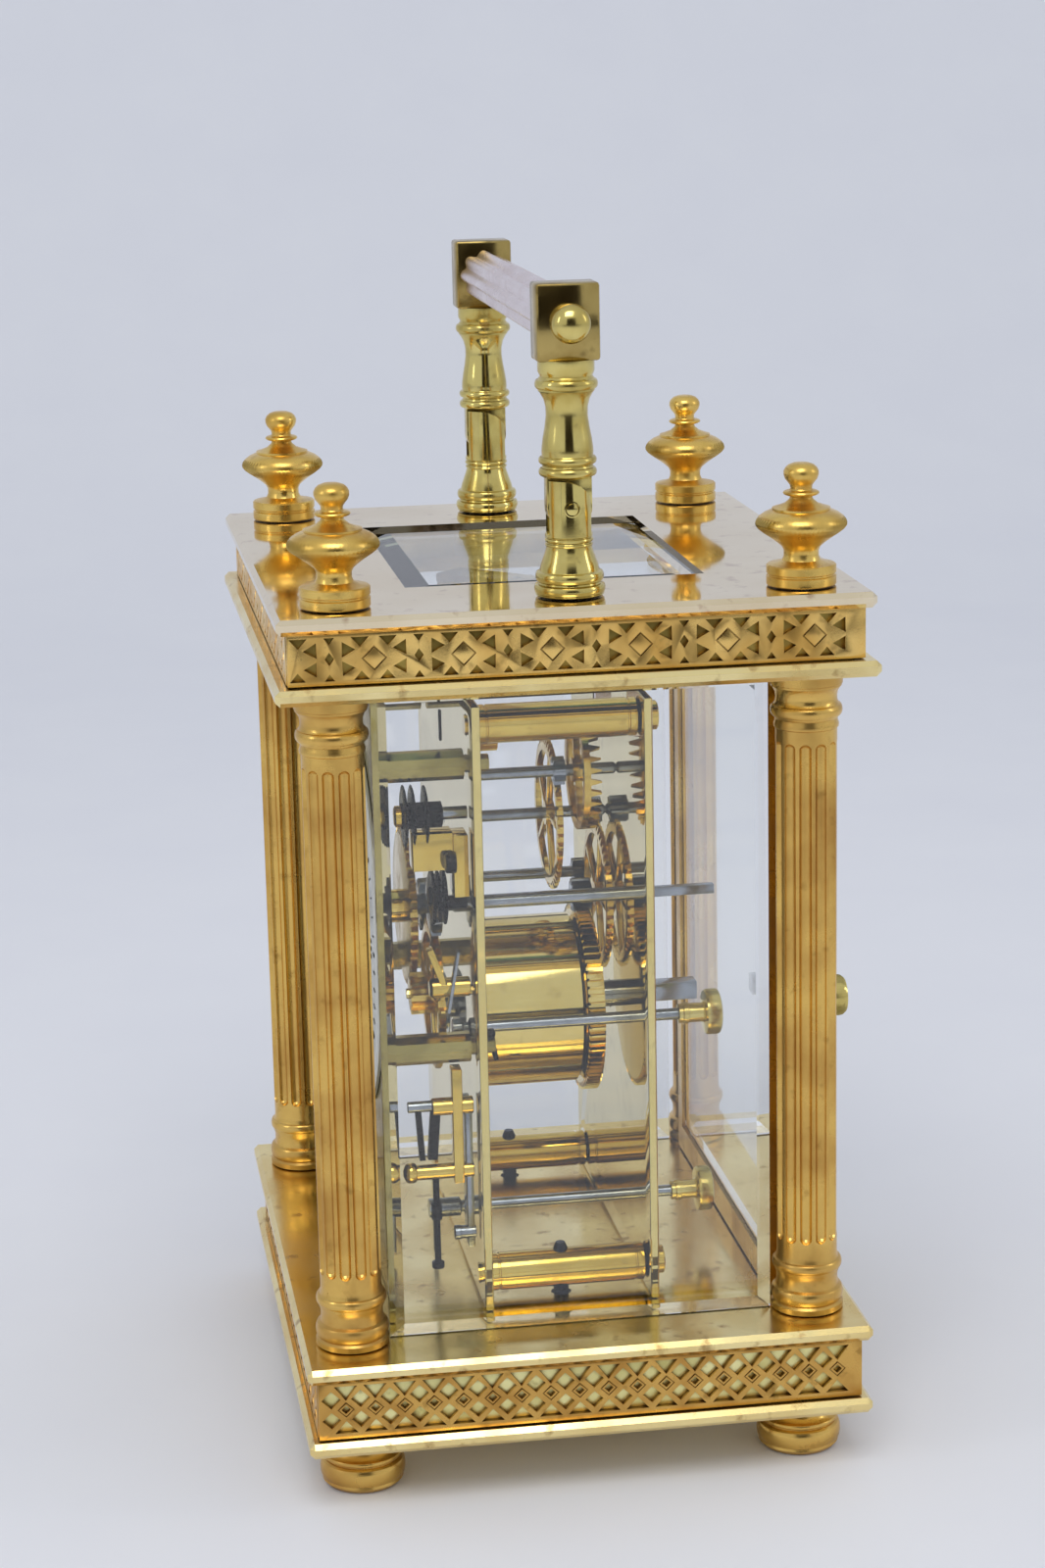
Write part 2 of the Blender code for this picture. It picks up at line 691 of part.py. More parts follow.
def build_top():
    bottom = CASE_TOP - PLATE_THICK
    plate = slab("top_plate", TOP_WIDTH, TOP_DEPTH, bottom, POLISHED)
    aperture = box_mesh("aperture", (APERTURE_WIDTH, APERTURE_DEPTH, PLATE_THICK + 2 * OVERRUN))
    cut(plate, add_tool("top_aperture", aperture, location=(0, 0, bottom + PLATE_THICK / 2)))
    rebate_width = TOP_GLASS_WIDTH + 2 * RUNNING_GAP
    rebate_depth = TOP_GLASS_DEPTH + 2 * RUNNING_GAP
    rebate = box_mesh("rebate", (rebate_width, rebate_depth, 2 * REBATE_DEPTH))
    cut(plate, add_tool("top_rebate", rebate, location=(0, 0, bottom)))
    # The thin edge of the glass lies under the lip, and its bevel rises through the aperture.
    under_lip = (TOP_GLASS_WIDTH - APERTURE_WIDTH) / 2
    edge_top = bottom + REBATE_DEPTH - RUNNING_GAP - TOP_GLASS_DROP * under_lip / TOP_GLASS_BEVEL
    glass = glass_mesh("top_glass", (TOP_GLASS_WIDTH, TOP_GLASS_DEPTH), TOP_GLASS_THICK, TOP_GLASS_BEVEL,
                       TOP_GLASS_DROP)
    add_part("top_glass", glass, GLASS, location=(0, 0, edge_top + TOP_GLASS_DROP - TOP_GLASS_THICK))


def glass_mesh(name, size, thick, bevel, drop):
    """A glass lying on local XY, with its bevelled face up."""
    mesh = bpy.data.meshes.new(name)
    shape = bmesh.new()
    middle = Matrix.Translation((0, 0, (thick - drop) / 2))
    bmesh.ops.create_cube(shape, size=1.0, matrix=middle @ Matrix.Diagonal((*size, thick - drop, 1.0)))
    shape.faces.ensure_lookup_table()
    top = max(shape.faces, key=lambda face: face.calc_center_median().z)
    bmesh.ops.inset_region(shape, faces=[top], thickness=bevel, depth=0)
    bmesh.ops.translate(shape, verts=top.verts, vec=(0, 0, drop))
    shape.to_mesh(mesh)
    shape.free()
    return mesh


def build_finials():
    mesh = turned_mesh("finial", profile_of(FINIAL_SHARES, FINIAL_RADIUS, FINIAL_HEIGHT))
    for corner, (x, y) in corners(FINIAL_SPAN, FINIAL_DEPTH_SPAN):
        add_part(f"finial_{corner}", mesh, GILT, location=(x, y, CASE_TOP + SEAT_GAP))


# Handle: slotted posts on the top plate, and uprights that turn in them
def build_handle_posts():
    sideways = math.radians(90)
    blank = add_tool("post_blank", turned_mesh("post", profile_of(POST_SHARES, POST_RADIUS, CHEEK_TOP)))
    slot_floor = PIN_HEIGHT - TONGUE_RADIUS - RUNNING_GAP
    slot_top = CHEEK_TOP + OVERRUN
    slot_size = (TONGUE_THICK + 2 * RUNNING_GAP, 4 * POST_RADIUS, slot_top - slot_floor)
    slot = add_tool("post_slot", box_mesh("slot", slot_size, (0, 0, (slot_top + slot_floor) / 2)))
    corner_size = (4 * POST_RADIUS, 2 * POST_RADIUS, slot_top - PIN_HEIGHT)
    corner = box_mesh("corner", corner_size, (0, POST_RADIUS, (slot_top + PIN_HEIGHT) / 2))
    round_off = add_tool("post_round_off", corner)
    keep = rod_mesh("keep", CHEEK_ROUND, -3 * POST_RADIUS, 3 * POST_RADIUS, 24)
    cut(round_off, add_tool("post_keep", keep, location=(0, 0, PIN_HEIGHT), rotation=(0, sideways, 0)))
    pin = rod_mesh("pin", PIN_RADIUS, -POST_RADIUS * 0.70, POST_RADIUS * 0.70)
    cut(blank, slot, round_off)
    join(blank, add_tool("post_pin", pin, location=(0, 0, PIN_HEIGHT), rotation=(0, sideways, 0)))
    mesh = smooth(settled_mesh(blank))
    for side, across in (("left", -1), ("right", 1)):
        where = (across * HANDLE_SPAN / 2, 0, CASE_TOP + SEAT_GAP)
        add_part(f"handle_post_{side}", mesh, POLISHED, location=where)


def build_handle():
    """The two uprights and the bar, which fold back together round the pins."""
    sideways = math.radians(90)
    hinge = joint_empty("handle_hinge", (0, 0, CASE_TOP + SEAT_GAP + PIN_HEIGHT))
    height = BLOCK_BOTTOM - UPRIGHT_BOTTOM
    turned = turned_mesh("upright", profile_of(UPRIGHT_SHARES, UPRIGHT_RADIUS, height, UPRIGHT_BOTTOM))
    blank = add_tool("upright_blank", turned)
    root = UPRIGHT_BOTTOM + RUNNING_GAP
    tongue_size = (TONGUE_THICK, 2 * TONGUE_RADIUS, root - PIN_HEIGHT)
    tongue = add_tool("tongue", box_mesh("tongue", tongue_size, (0, 0, (root + PIN_HEIGHT) / 2)))
    knuckle = rod_mesh("knuckle", TONGUE_RADIUS, -TONGUE_THICK / 2, TONGUE_THICK / 2, 20)
    knuckle_tool = add_tool("knuckle", knuckle, location=(0, 0, PIN_HEIGHT), rotation=(0, sideways, 0))
    block_bottom = BLOCK_BOTTOM - RUNNING_GAP
    block_top = BLOCK_BOTTOM + BLOCK_HEIGHT
    block_size = (BLOCK_THICK, BLOCK_DEPTH, block_top - block_bottom)
    block = add_tool("block", box_mesh("block", block_size, (0, 0, (block_bottom + block_top) / 2)))
    bevelled(block, BLOCK_BEVEL)
    pin_hole = hole_mesh("pin_hole", PIN_RADIUS + RUNNING_GAP, -TONGUE_THICK, TONGUE_THICK)
    bar_height = BLOCK_BOTTOM + BLOCK_HEIGHT / 2
    bar_hole = hole_mesh("bar_hole", TENON_RADIUS + SEAT_GAP, -BLOCK_THICK, BLOCK_THICK)
    join(blank, tongue, knuckle_tool, block)
    cut(blank, add_tool("pin_hole", pin_hole, location=(0, 0, PIN_HEIGHT), rotation=(0, sideways, 0)),
        add_tool("bar_hole", bar_hole, location=(0, 0, bar_height), rotation=(0, sideways, 0)))
    mesh = smooth(settled_mesh(blank))
    for side, across in (("left", -1), ("right", 1)):
        where = (across * HANDLE_SPAN / 2, 0, CASE_TOP + SEAT_GAP)
        add_part(f"handle_upright_{side}", mesh, POLISHED, location=where, parent=hinge)
    where = (0, 0, CASE_TOP + SEAT_GAP + bar_height)
    add_part("handle_bar", handle_bar_mesh(), SILVERED, location=where, rotation=(0, sideways, 0),
             parent=hinge)


def handle_bar_mesh():
    """A fluted grip between the blocks, with a tenon through each block and a domed button outside it."""
    inner = HANDLE_SPAN / 2 - BLOCK_THICK / 2 - SEAT_GAP
    outer = HANDLE_SPAN / 2 + BLOCK_THICK / 2 + SEAT_GAP
    rim = []
    for i in range(GRIP_FLUTES):
        turn = 2 * math.pi * i / GRIP_FLUTES
        rim.append(polar(GRIP_RADIUS, turn))
        rim.append(polar(GRIP_RADIUS - GRIP_FLUTE_DEPTH, turn + math.pi / GRIP_FLUTES))
    bar = add_tool("bar_grip", outline_mesh("grip", [rim], -inner, inner))
    join(bar, add_tool("bar_tenon", rod_mesh("tenon", TENON_RADIUS, -outer - SEAT_GAP, outer + SEAT_GAP)))
    button = profile_of(BUTTON_SHARES, BUTTON_RADIUS, BUTTON_HEIGHT, outer)
    for end, turn in (("first", 0), ("second", math.pi)):
        tool = add_tool(f"bar_button_{end}", turned_mesh("button", button, 12), rotation=(turn, 0, 0))
        join(bar, tool)
    return settled_mesh(bar)


# Glasses and the back door
def build_glasses():
    upright = math.radians(90)
    height = COLUMN_HEIGHT - 2 * SEAT_GAP
    middle = BASE_TOP + COLUMN_HEIGHT / 2 - SEAT_GAP / 2
    side = glass_mesh("side_glass", (height, SIDE_GLASS_WIDTH), GLASS_THICK, GLASS_BEVEL, GLASS_BEVEL_DROP)
    front_size = (FRONT_GLASS_WIDTH, height)
    front = glass_mesh("front_glass", front_size, GLASS_THICK, GLASS_BEVEL, GLASS_BEVEL_DROP)
    inside = SIDE_GLASS_OUT - GLASS_THICK
    add_part("right_glass", side, GLASS, location=(inside, 0, middle), rotation=(0, upright, 0))
    add_part("left_glass", side, GLASS, location=(-inside, 0, middle), rotation=(0, -upright, 0))
    add_part("front_glass", front, GLASS, location=(0, GLASS_THICK - FRONT_GLASS_OUT, middle),
             rotation=(upright, 0, 0))


def build_door():
    """Frame, glass and knob, turning round pivots at the left edge."""
    upright = math.radians(90)
    across = DOOR_HINGE_INSET - DOOR_WIDTH / 2
    depth = DOOR_INSIDE + DOOR_THICK / 2
    hinge = joint_empty("door_hinge", (across, depth, BASE_TOP))
    bottom = BASE_TOP + RUNNING_GAP
    top = ENTABLATURE_BOTTOM - RUNNING_GAP
    middle = (bottom + top) / 2
    height = top - bottom
    frame = add_part("door_frame", box_mesh("door_frame", (DOOR_WIDTH, DOOR_THICK, height)), GILT,
                     location=(0, depth, middle), parent=hinge)
    light_width = DOOR_WIDTH - 2 * DOOR_STILE
    light_height = height - 2 * DOOR_RAIL
    light = box_mesh("light", (light_width, 2 * DOOR_THICK, light_height))
    cut(frame, add_tool("door_light", light, location=(0, depth, middle)))
    hole = hole_mesh("knob_hole", knob_stem_radius() + SEAT_GAP, -DOOR_THICK, DOOR_THICK)
    knob_across = (DOOR_WIDTH - DOOR_STILE) / 2
    knob_place = (knob_across, depth, KNOB_HEIGHT)
    cut(frame, add_tool("door_knob_hole", hole, location=knob_place, rotation=(upright, 0, 0)))
    for name, plate, level in (("lower", "base_top_plate", bottom), ("upper", "entablature_tray", top)):
        pin = rod_mesh("door_pin", DOOR_PIN_RADIUS, -DOOR_PIN_LENGTH, DOOR_PIN_LENGTH)
        join(frame, add_tool(f"door_pin_{name}", pin, location=(across, depth, level)))
        reach = PLATE_THICK + OVERRUN
        way = hole_mesh("door_pin_way", DOOR_PIN_RADIUS + SEAT_GAP, -reach, reach)
        cut(bpy.data.objects[plate], add_tool(f"door_pin_way_{name}", way, location=(across, depth, level)))
    size = (light_width - 2 * SEAT_GAP, light_height - 2 * SEAT_GAP)
    glass = glass_mesh("door_glass", size, DOOR_GLASS_THICK, GLASS_BEVEL, DOOR_GLASS_BEVEL_DROP)
    add_part("door_glass", glass, GLASS, location=(0, depth - DOOR_GLASS_THICK / 2, middle),
             rotation=(-upright, 0, 0), parent=hinge)
    knob = turned_mesh("door_knob", profile_of(KNOB_SHARES, KNOB_RADIUS, KNOB_LENGTH))
    stem = add_tool("knob_stem", rod_mesh("stem", knob_stem_radius(), SEAT_GAP - DOOR_THICK, SEAT_GAP))
    obj = add_part("door_knob", knob, GILT, parent=hinge, rotation=(-upright, 0, 0),
                   location=(knob_across, DOOR_INSIDE + DOOR_THICK + SEAT_GAP, KNOB_HEIGHT))
    stem.location = obj.location
    stem.rotation_euler = obj.rotation_euler
    join(obj, stem)


def knob_stem_radius():
    return KNOB_RADIUS / 4


# Movement: where the arbors stand, in (across, height)
CENTRE = (0, DIAL_CENTRE_HEIGHT)
BARREL_AXIS = (0, DIAL_CENTRE_HEIGHT - BARREL_TO_CENTRE)
THIRD = moved(CENTRE, CENTRE_TO_THIRD, THIRD_ANGLE)
CONTRATE = moved(THIRD, THIRD_TO_CONTRATE, CONTRATE_ANGLE)
MINUTE = moved(CENTRE, CENTRE_TO_MINUTE, MINUTE_ANGLE)
ALARM = (ALARM_ACROSS, ALARM_HEIGHT)
STOP = (STOP_ACROSS, STOP_HEIGHT)


def pitch_radii(distance, teeth, other_teeth):
    """Pitch radii of two meshing gears from the distance between their axes."""
    module = distance / (teeth + other_teeth)
    return module * teeth, module * other_teeth


BARREL_PITCH, CENTRE_PINION_PITCH = pitch_radii(BARREL_TO_CENTRE, BARREL_TEETH, CENTRE_LEAVES)
CENTRE_PITCH, THIRD_PINION_PITCH = pitch_radii(CENTRE_TO_THIRD, CENTRE_TEETH, THIRD_LEAVES)
THIRD_PITCH, CONTRATE_PINION_PITCH = pitch_radii(THIRD_TO_CONTRATE, THIRD_TEETH, CONTRATE_LEAVES)
CANNON_PITCH, MINUTE_PITCH = pitch_radii(CENTRE_TO_MINUTE, CANNON_TEETH, MINUTE_TEETH)
HOUR_PITCH, MINUTE_PINION_PITCH = pitch_radii(CENTRE_TO_MINUTE, HOUR_TEETH, MINUTE_LEAVES)
SETTING_PITCH = MINUTE_PITCH * SETTING_TEETH / MINUTE_TEETH
IDLER_PITCH = CENTRE_PITCH * IDLER_LEAVES / CENTRE_TEETH
ESCAPE_PINION_PITCH = CONTRATE_PITCH * ESCAPE_LEAVES / CONTRATE_TEETH
IDLER = moved(CENTRE, CENTRE_PITCH + IDLER_PITCH, IDLER_ANGLE)
SETTING = moved(MINUTE, MINUTE_PITCH + SETTING_PITCH, SETTING_ANGLE)


def meshed_phase(teeth, phase, other_teeth, direction):
    """The angle of the other gear's first tooth that puts a gap of it on a tooth of this one."""
    offset = math.pi - teeth * (direction - phase)
    return direction + math.pi - offset / other_teeth


THIRD_PHASE = meshed_phase(CENTRE_TEETH, 0, THIRD_LEAVES, THIRD_ANGLE)
IDLER_PHASE = meshed_phase(CENTRE_TEETH, 0, IDLER_LEAVES, IDLER_ANGLE)
CENTRE_PINION_PHASE = meshed_phase(BARREL_TEETH, 0, CENTRE_LEAVES, math.pi / 2)
CONTRATE_PHASE = meshed_phase(THIRD_TEETH, 0, CONTRATE_LEAVES, CONTRATE_ANGLE)
MINUTE_PHASE = meshed_phase(CANNON_TEETH, 0, MINUTE_TEETH, MINUTE_ANGLE)
SETTING_PHASE = meshed_phase(MINUTE_TEETH, MINUTE_PHASE, SETTING_TEETH, SETTING_ANGLE)
HOUR_PHASE = meshed_phase(MINUTE_LEAVES, 0, HOUR_TEETH, MINUTE_ANGLE + math.pi)

# Tooth forms, as shares of the module outwards and inwards, and of the tooth pitch round the rim
WHEEL_SHARES = {"out": 0.85, "in": 1.10, "tip": 0.0, "root": 0.92}
PINION_SHARES = {"out": 0.60, "in": 1.25, "tip": 0.20, "root": 0.40}


def gear_outline(teeth, pitch_radius, form_shares, phase=0):
    """Points round a toothed rim. A tip share of 0 gives pointed teeth."""
    module = 2 * pitch_radius / teeth
    tip = pitch_radius + form_shares["out"] * module
    root = pitch_radius - form_shares["in"] * module
    step = 2 * math.pi / teeth
    points = []
    for i in range(teeth):
        middle = phase + i * step
        points.append(polar(root, middle - step * form_shares["root"] / 2))
        if form_shares["tip"]:
            points.append(polar(tip, middle - step * form_shares["tip"] / 2))
            points.append(polar(tip, middle + step * form_shares["tip"] / 2))
        else:
            points.append(polar(tip, middle))
        if form_shares["root"] < 0.9:
            points.append(polar(root, middle + step * form_shares["root"] / 2))
    return points


def spoke_holes(rim_radius, hub_radius=HUB_RADIUS, spokes=SPOKES):
    """The openings between the arms of a crossed-out wheel."""
    holes = []
    for i in range(spokes):
        start = 2 * math.pi * i / spokes
        end = 2 * math.pi * (i + 1) / spokes
        outer_turn = SPOKE_WIDTH / 2 / rim_radius
        inner_turn = math.asin(SPOKE_WIDTH / 2 / hub_radius)
        sweep = end - start - 2 * outer_turn
        arc = [polar(rim_radius, start + outer_turn + sweep * part / 3) for part in range(4)]
        holes.append([polar(hub_radius, start + inner_turn), *arc, polar(hub_radius, end - inner_turn)])
    return holes


def wheel_tool(name, teeth, pitch_radius, forward, thick, phase=0, crossed=True):
    """A toothed wheel as a piece to be joined to its arbor, centred on the given depth."""
    loops = [gear_outline(teeth, pitch_radius, WHEEL_SHARES, phase)]
    if crossed:
        root = pitch_radius - WHEEL_SHARES["in"] * 2 * pitch_radius / teeth
        loops += spoke_holes(root - RIM_WIDTH)
    return add_tool(name, outline_mesh(name, loops, forward - thick / 2, forward + thick / 2))


def pinion_tool(name, leaves, pitch_radius, start, end, phase):
    loops = [gear_outline(leaves, pitch_radius, PINION_SHARES, phase)]
    return add_tool(name, outline_mesh(name, loops, start, end))


FACING = (math.radians(90), 0, 0)


def face_place(axis, **more):
    """Placement of a piece that turns on an axis running front to back."""
    return {"location": (axis[0], 0, axis[1]), "rotation": FACING, **more}


def add_arbor(name, axis, rod, look, *tools):
    """A turned rod with its wheels and pinions joined on, lying on its axis."""
    blank = add_tool(name + "_rod", rod)
    join(blank, *tools)
    return add_part(name, settled_mesh(blank), look, **face_place(axis))


def arbor_rod(radius, front=FRONT_PLATE_BACK, back=BACK_PLATE_FRONT):
    """A plain arbor between the plates, with a pivot in each."""
    pivot = MOVEMENT_PLATE_THICK
    return turned_mesh("arbor", [(PIVOT_RADIUS, front + pivot), (PIVOT_RADIUS, front - SEAT_GAP),
                                 (radius, front - SEAT_GAP), (radius, back + SEAT_GAP),
                                 (PIVOT_RADIUS, back + SEAT_GAP), (PIVOT_RADIUS, back - pivot)], PIVOT_STEPS)


def bored(obj, radius, axis=(0, 0), reach=CANNON_END):
    """Cuts a round hole right through a piece that lies on its own axis."""
    name = f"{obj.name}_bore_{len(obj.modifiers)}"
    tool = add_tool(name, hole_mesh("bore", radius, -reach - OVERRUN, reach + OVERRUN, 10))
    tool.location = (obj.location[0] + axis[0], 0, obj.location[2] + axis[1])
    tool.rotation_euler = FACING
    return cut(obj, tool)


def movement_plate(name, forward, holes):
    """An upright brass plate, with a hole for each (axis, radius)."""
    bottom = BASE_TOP + MOVEMENT_FOOT_GAP
    size = (MOVEMENT_WIDTH, MOVEMENT_TOP - bottom, MOVEMENT_PLATE_THICK)
    centre = (0, (MOVEMENT_TOP + bottom) / 2, forward + MOVEMENT_PLATE_THICK / 2)
    blank = add_tool(name + "_blank", box_mesh(name, size, centre))
    for number, (axis, radius) in enumerate(holes):
        hole = hole_mesh("hole", radius, forward - OVERRUN, forward + MOVEMENT_PLATE_THICK + OVERRUN)
        cut(blank, add_tool(f"{name}_hole_{number}", hole, location=(*axis, 0)))
    return blank


def pillar_axes():
    for side, across in (("left", -1), ("right", 1)):
        for level, height in (("lower", PILLAR_LOW), ("upper", PILLAR_HIGH)):
            yield f"{level}_{side}", (across * PILLAR_SPAN / 2, height)


def dial_foot_axes():
    for across in (-1, 1):
        for height in (DIAL_FOOT_LOW, DIAL_FOOT_HIGH):
            yield (across * DIAL_FOOT_SPAN / 2, height)


def build_movement_plates():
    pivots = [(axis, PIVOT_RADIUS + SEAT_GAP) for axis in (THIRD, CONTRATE, IDLER)]
    common = pivots + [(axis, PILLAR_TENON_RADIUS + SEAT_GAP) for _, axis in pillar_axes()]
    common += [(BARREL_AXIS, BARREL_ARBOR_RADIUS + SEAT_GAP), (SETTING, SETTING_ARBOR_RADIUS + SEAT_GAP),
               (ALARM, KNOB_ARBOR_RADIUS + SEAT_GAP), (STOP, KNOB_ARBOR_RADIUS + SEAT_GAP)]
    centre_front = [(CENTRE, CENTRE_POST_RADIUS + SEAT_GAP)]
    centre_back = [(CENTRE, PIVOT_RADIUS + SEAT_GAP)]
    feet = [(axis, DIAL_FOOT_TENON_RADIUS + SEAT_GAP) for axis in dial_foot_axes()]
    front = movement_plate("front_plate", FRONT_PLATE_BACK, common + centre_front + feet)
    stud = rod_mesh("stud", STUD_RADIUS, FRONT_PLATE_BACK + MOVEMENT_PLATE_THICK / 2, STUD_END)
    join(front, add_tool("minute_stud", stud, location=(*MINUTE, 0)))
    back = movement_plate("back_plate", BACK_PLATE_FACE, common + centre_back)
    for name, blank in (("front_plate", front), ("back_plate", back)):
        add_part(name, settled_mesh(blank), POLISHED, **face_place((0, 0)))


def build_pillars():
    """Turned pillars with a tenon through each plate and a screw head behind the back one."""
    for name, axis in pillar_axes():
        front = FRONT_PLATE_BACK - SEAT_GAP
        back = BACK_PLATE_FRONT + SEAT_GAP
        head = BACK_PLATE_FACE - SEAT_GAP
        profile = [(PILLAR_TENON_RADIUS, FRONT_PLATE_FACE), (PILLAR_TENON_RADIUS, front),
                   (PILLAR_RADIUS, front), (PILLAR_RADIUS, back),
                   (PILLAR_TENON_RADIUS, back), (PILLAR_TENON_RADIUS, head),
                   (PILLAR_HEAD_RADIUS, head), (PILLAR_HEAD_RADIUS, head - PILLAR_HEAD_HEIGHT)]
        pillar = add_part(f"pillar_{name}", turned_mesh("pillar", profile, 12), POLISHED, **face_place(axis))
        if axis[1] == PILLAR_LOW:
            above = PILLAR_LOW + 2 * PILLAR_RADIUS
            hole = hole_mesh("screw_way", SCREW_RADIUS + SEAT_GAP, BASE_TOP, above)
            cut(pillar, add_tool(f"pillar_{name}_way", hole, location=(axis[0], -SCREW_FORWARD, 0)))


def build_movement_screws():
    """The screws that hold the movement down, up through the base and the lower pillars."""
    under = BASE_TOP - PLATE_THICK - SEAT_GAP
    tip = PILLAR_LOW + PILLAR_RADIUS + SCREW_TIP
    profile = [(SCREW_RADIUS * 0.6, tip), (SCREW_RADIUS, tip - SCREW_TIP / 2), (SCREW_RADIUS, under),
               (SCREW_HEAD_RADIUS, under), (SCREW_HEAD_RADIUS, under - SCREW_HEAD_HEIGHT)]
    mesh = turned_mesh("movement_screw", profile, 10)
    for side, across in (("left", -1), ("right", 1)):
        where = (across * PILLAR_SPAN / 2, -SCREW_FORWARD, 0)
        add_part(f"movement_screw_{side}", mesh, BLUED, location=where)


def build_barrel():
    """The mainspring drum with its toothed rim, and the arbor that winds it."""
    front = FRONT_PLATE_BACK - 2 * RUNNING_GAP
    rim_front = GREAT_WHEEL_FORWARD + GREAT_WHEEL_THICK / 2
    drum = add_tool("barrel_drum", rod_mesh("drum", BARREL_RADIUS, rim_front - RUNNING_GAP, front, 24))
    join(drum, wheel_tool("great_wheel", BARREL_TEETH, BARREL_PITCH, GREAT_WHEEL_FORWARD, GREAT_WHEEL_THICK,
                          crossed=False))
    reach = FRONT_PLATE_FACE + OVERRUN
    bore = hole_mesh("barrel_bore", BARREL_ARBOR_RADIUS + SEAT_GAP, -reach, reach, 12)
    cut(drum, add_tool("barrel_bore", bore))
    add_part("barrel", settled_mesh(drum), POLISHED, **face_place(BARREL_AXIS))
    ratchet_back = FRONT_PLATE_FACE + RUNNING_GAP
    arbor_front = ratchet_back + RATCHET_THICK + SEAT_GAP
    arbor = rod_mesh("winding_arbor", BARREL_ARBOR_RADIUS, BACK_PLATE_FACE, arbor_front, 12)
    square = square_rod("winding_square", WINDING_SQUARE, WINDING_SQUARE_END, BACK_PLATE_FACE + RUNNING_GAP)
    rim = saw_outline(RATCHET_TEETH, RATCHET_RADIUS, RATCHET_DEPTH_SHARE)
    ratchet = outline_mesh("ratchet", [rim], ratchet_back, ratchet_back + RATCHET_THICK)
    add_arbor("winding_arbor", BARREL_AXIS, arbor, STEEL, square, add_tool("ratchet", ratchet))


def square_rod(name, over_corners, start, end):
    """A square key end. Its corners stay inside the round arbor that it continues."""
    side = over_corners / math.sqrt(2)
    return add_tool(name, box_mesh(name, (side, side, end - start), (0, 0, (start + end) / 2)))


def saw_outline(teeth, radius, depth_share):
    """Teeth with one steep and one sloping side."""
    points = []
    for i in range(teeth):
        start = 2 * math.pi * (i + 0.5) / teeth + FACET_TURN / teeth
        points.append(polar(radius * (1 - depth_share), start))
        points.append(polar(radius, start))
    return points


def build_train():
    """The centre, third, contrate and idler arbors between the plates."""
    great_back = GREAT_WHEEL_FORWARD - GREAT_WHEEL_THICK / 2 - RUNNING_GAP
    great_front = GREAT_WHEEL_FORWARD + GREAT_WHEEL_THICK / 2 + RUNNING_GAP
    centre_rod = turned_mesh("centre", [
        (CENTRE_POST_RADIUS, CENTRE_ARBOR_END), (CENTRE_POST_RADIUS, FRONT_PLATE_BACK - SEAT_GAP),
        (ARBOR_RADIUS, FRONT_PLATE_BACK - SEAT_GAP), (ARBOR_RADIUS, BACK_PLATE_FRONT + SEAT_GAP),
        (PIVOT_RADIUS, BACK_PLATE_FRONT + SEAT_GAP), (PIVOT_RADIUS, BACK_PLATE_FACE)], PIVOT_STEPS)
    add_arbor("centre_arbor", CENTRE, centre_rod, POLISHED,
              pinion_tool("centre_pinion", CENTRE_LEAVES, CENTRE_PINION_PITCH, great_back, great_front,
                          CENTRE_PINION_PHASE),
              wheel_tool("centre_wheel", CENTRE_TEETH, CENTRE_PITCH, CENTRE_WHEEL_FORWARD, WHEEL_THICK))
    centre_back = CENTRE_WHEEL_FORWARD - WHEEL_THICK
    centre_front = CENTRE_WHEEL_FORWARD + 2 * WHEEL_THICK
    third_back = THIRD_WHEEL_FORWARD - WHEEL_THICK
    third_front = THIRD_WHEEL_FORWARD + WHEEL_THICK
    add_arbor("third_arbor", THIRD, arbor_rod(ARBOR_RADIUS), POLISHED,
              pinion_tool("third_pinion", THIRD_LEAVES, THIRD_PINION_PITCH, centre_back, centre_front,
                          THIRD_PHASE),
              wheel_tool("third_wheel", THIRD_TEETH, THIRD_PITCH, THIRD_WHEEL_FORWARD, WHEEL_THICK))
    add_arbor("contrate_arbor", CONTRATE, arbor_rod(ARBOR_RADIUS), POLISHED,
              pinion_tool("contrate_pinion", CONTRATE_LEAVES, CONTRATE_PINION_PITCH, third_back, third_front,
                          CONTRATE_PHASE),
              contrate_tool())
    add_arbor("idler_arbor", IDLER, arbor_rod(ARBOR_RADIUS), STEEL,
              pinion_tool("idler_pinion", IDLER_LEAVES, IDLER_PITCH, centre_back, centre_front, IDLER_PHASE))


def contrate_tool():
    """A crossed-out disc, with pointed teeth on its rim that face the back plate."""
    back = CONTRATE_WHEEL_FORWARD - WHEEL_THICK / 2
    loops = [circle_points(CONTRATE_RADIUS, CONTRATE_TEETH), *spoke_holes(CONTRATE_RADIUS - 2 * RIM_WIDTH)]
    disc = add_tool("contrate_disc", outline_mesh("contrate_disc", loops, back, back + WHEEL_THICK))
    root = back + WHEEL_THICK / 2
    height = root - back + CONTRATE_TOOTH_HEIGHT
    width = 2 * math.pi * CONTRATE_PITCH / CONTRATE_TEETH * CONTRATE_TOOTH_SHARE
    mesh = bpy.data.meshes.new("contrate_teeth")
    shape = bmesh.new()
    for i in range(CONTRATE_TEETH):
        tooth = bmesh.ops.create_cube(shape, size=1.0)["verts"]
        for vert in tooth:
            if vert.co.z < 0:
                vert.co.y = 0
        where = Matrix.Rotation(2 * math.pi * i / CONTRATE_TEETH, 4, "Z")
        where = where @ Matrix.Translation((CONTRATE_PITCH, 0, root - height / 2))
        where = where @ Matrix.Diagonal((CONTRATE_TOOTH_FACE, width, height, 1))
        bmesh.ops.transform(shape, verts=tooth, matrix=where)
    bmesh.ops.remove_doubles(shape, verts=shape.verts, dist=WELD)
    bmesh.ops.dissolve_degenerate(shape, edges=shape.edges, dist=WELD)
    shape.to_mesh(mesh)
    shape.free()
    return join(disc, add_tool("contrate_teeth", mesh))


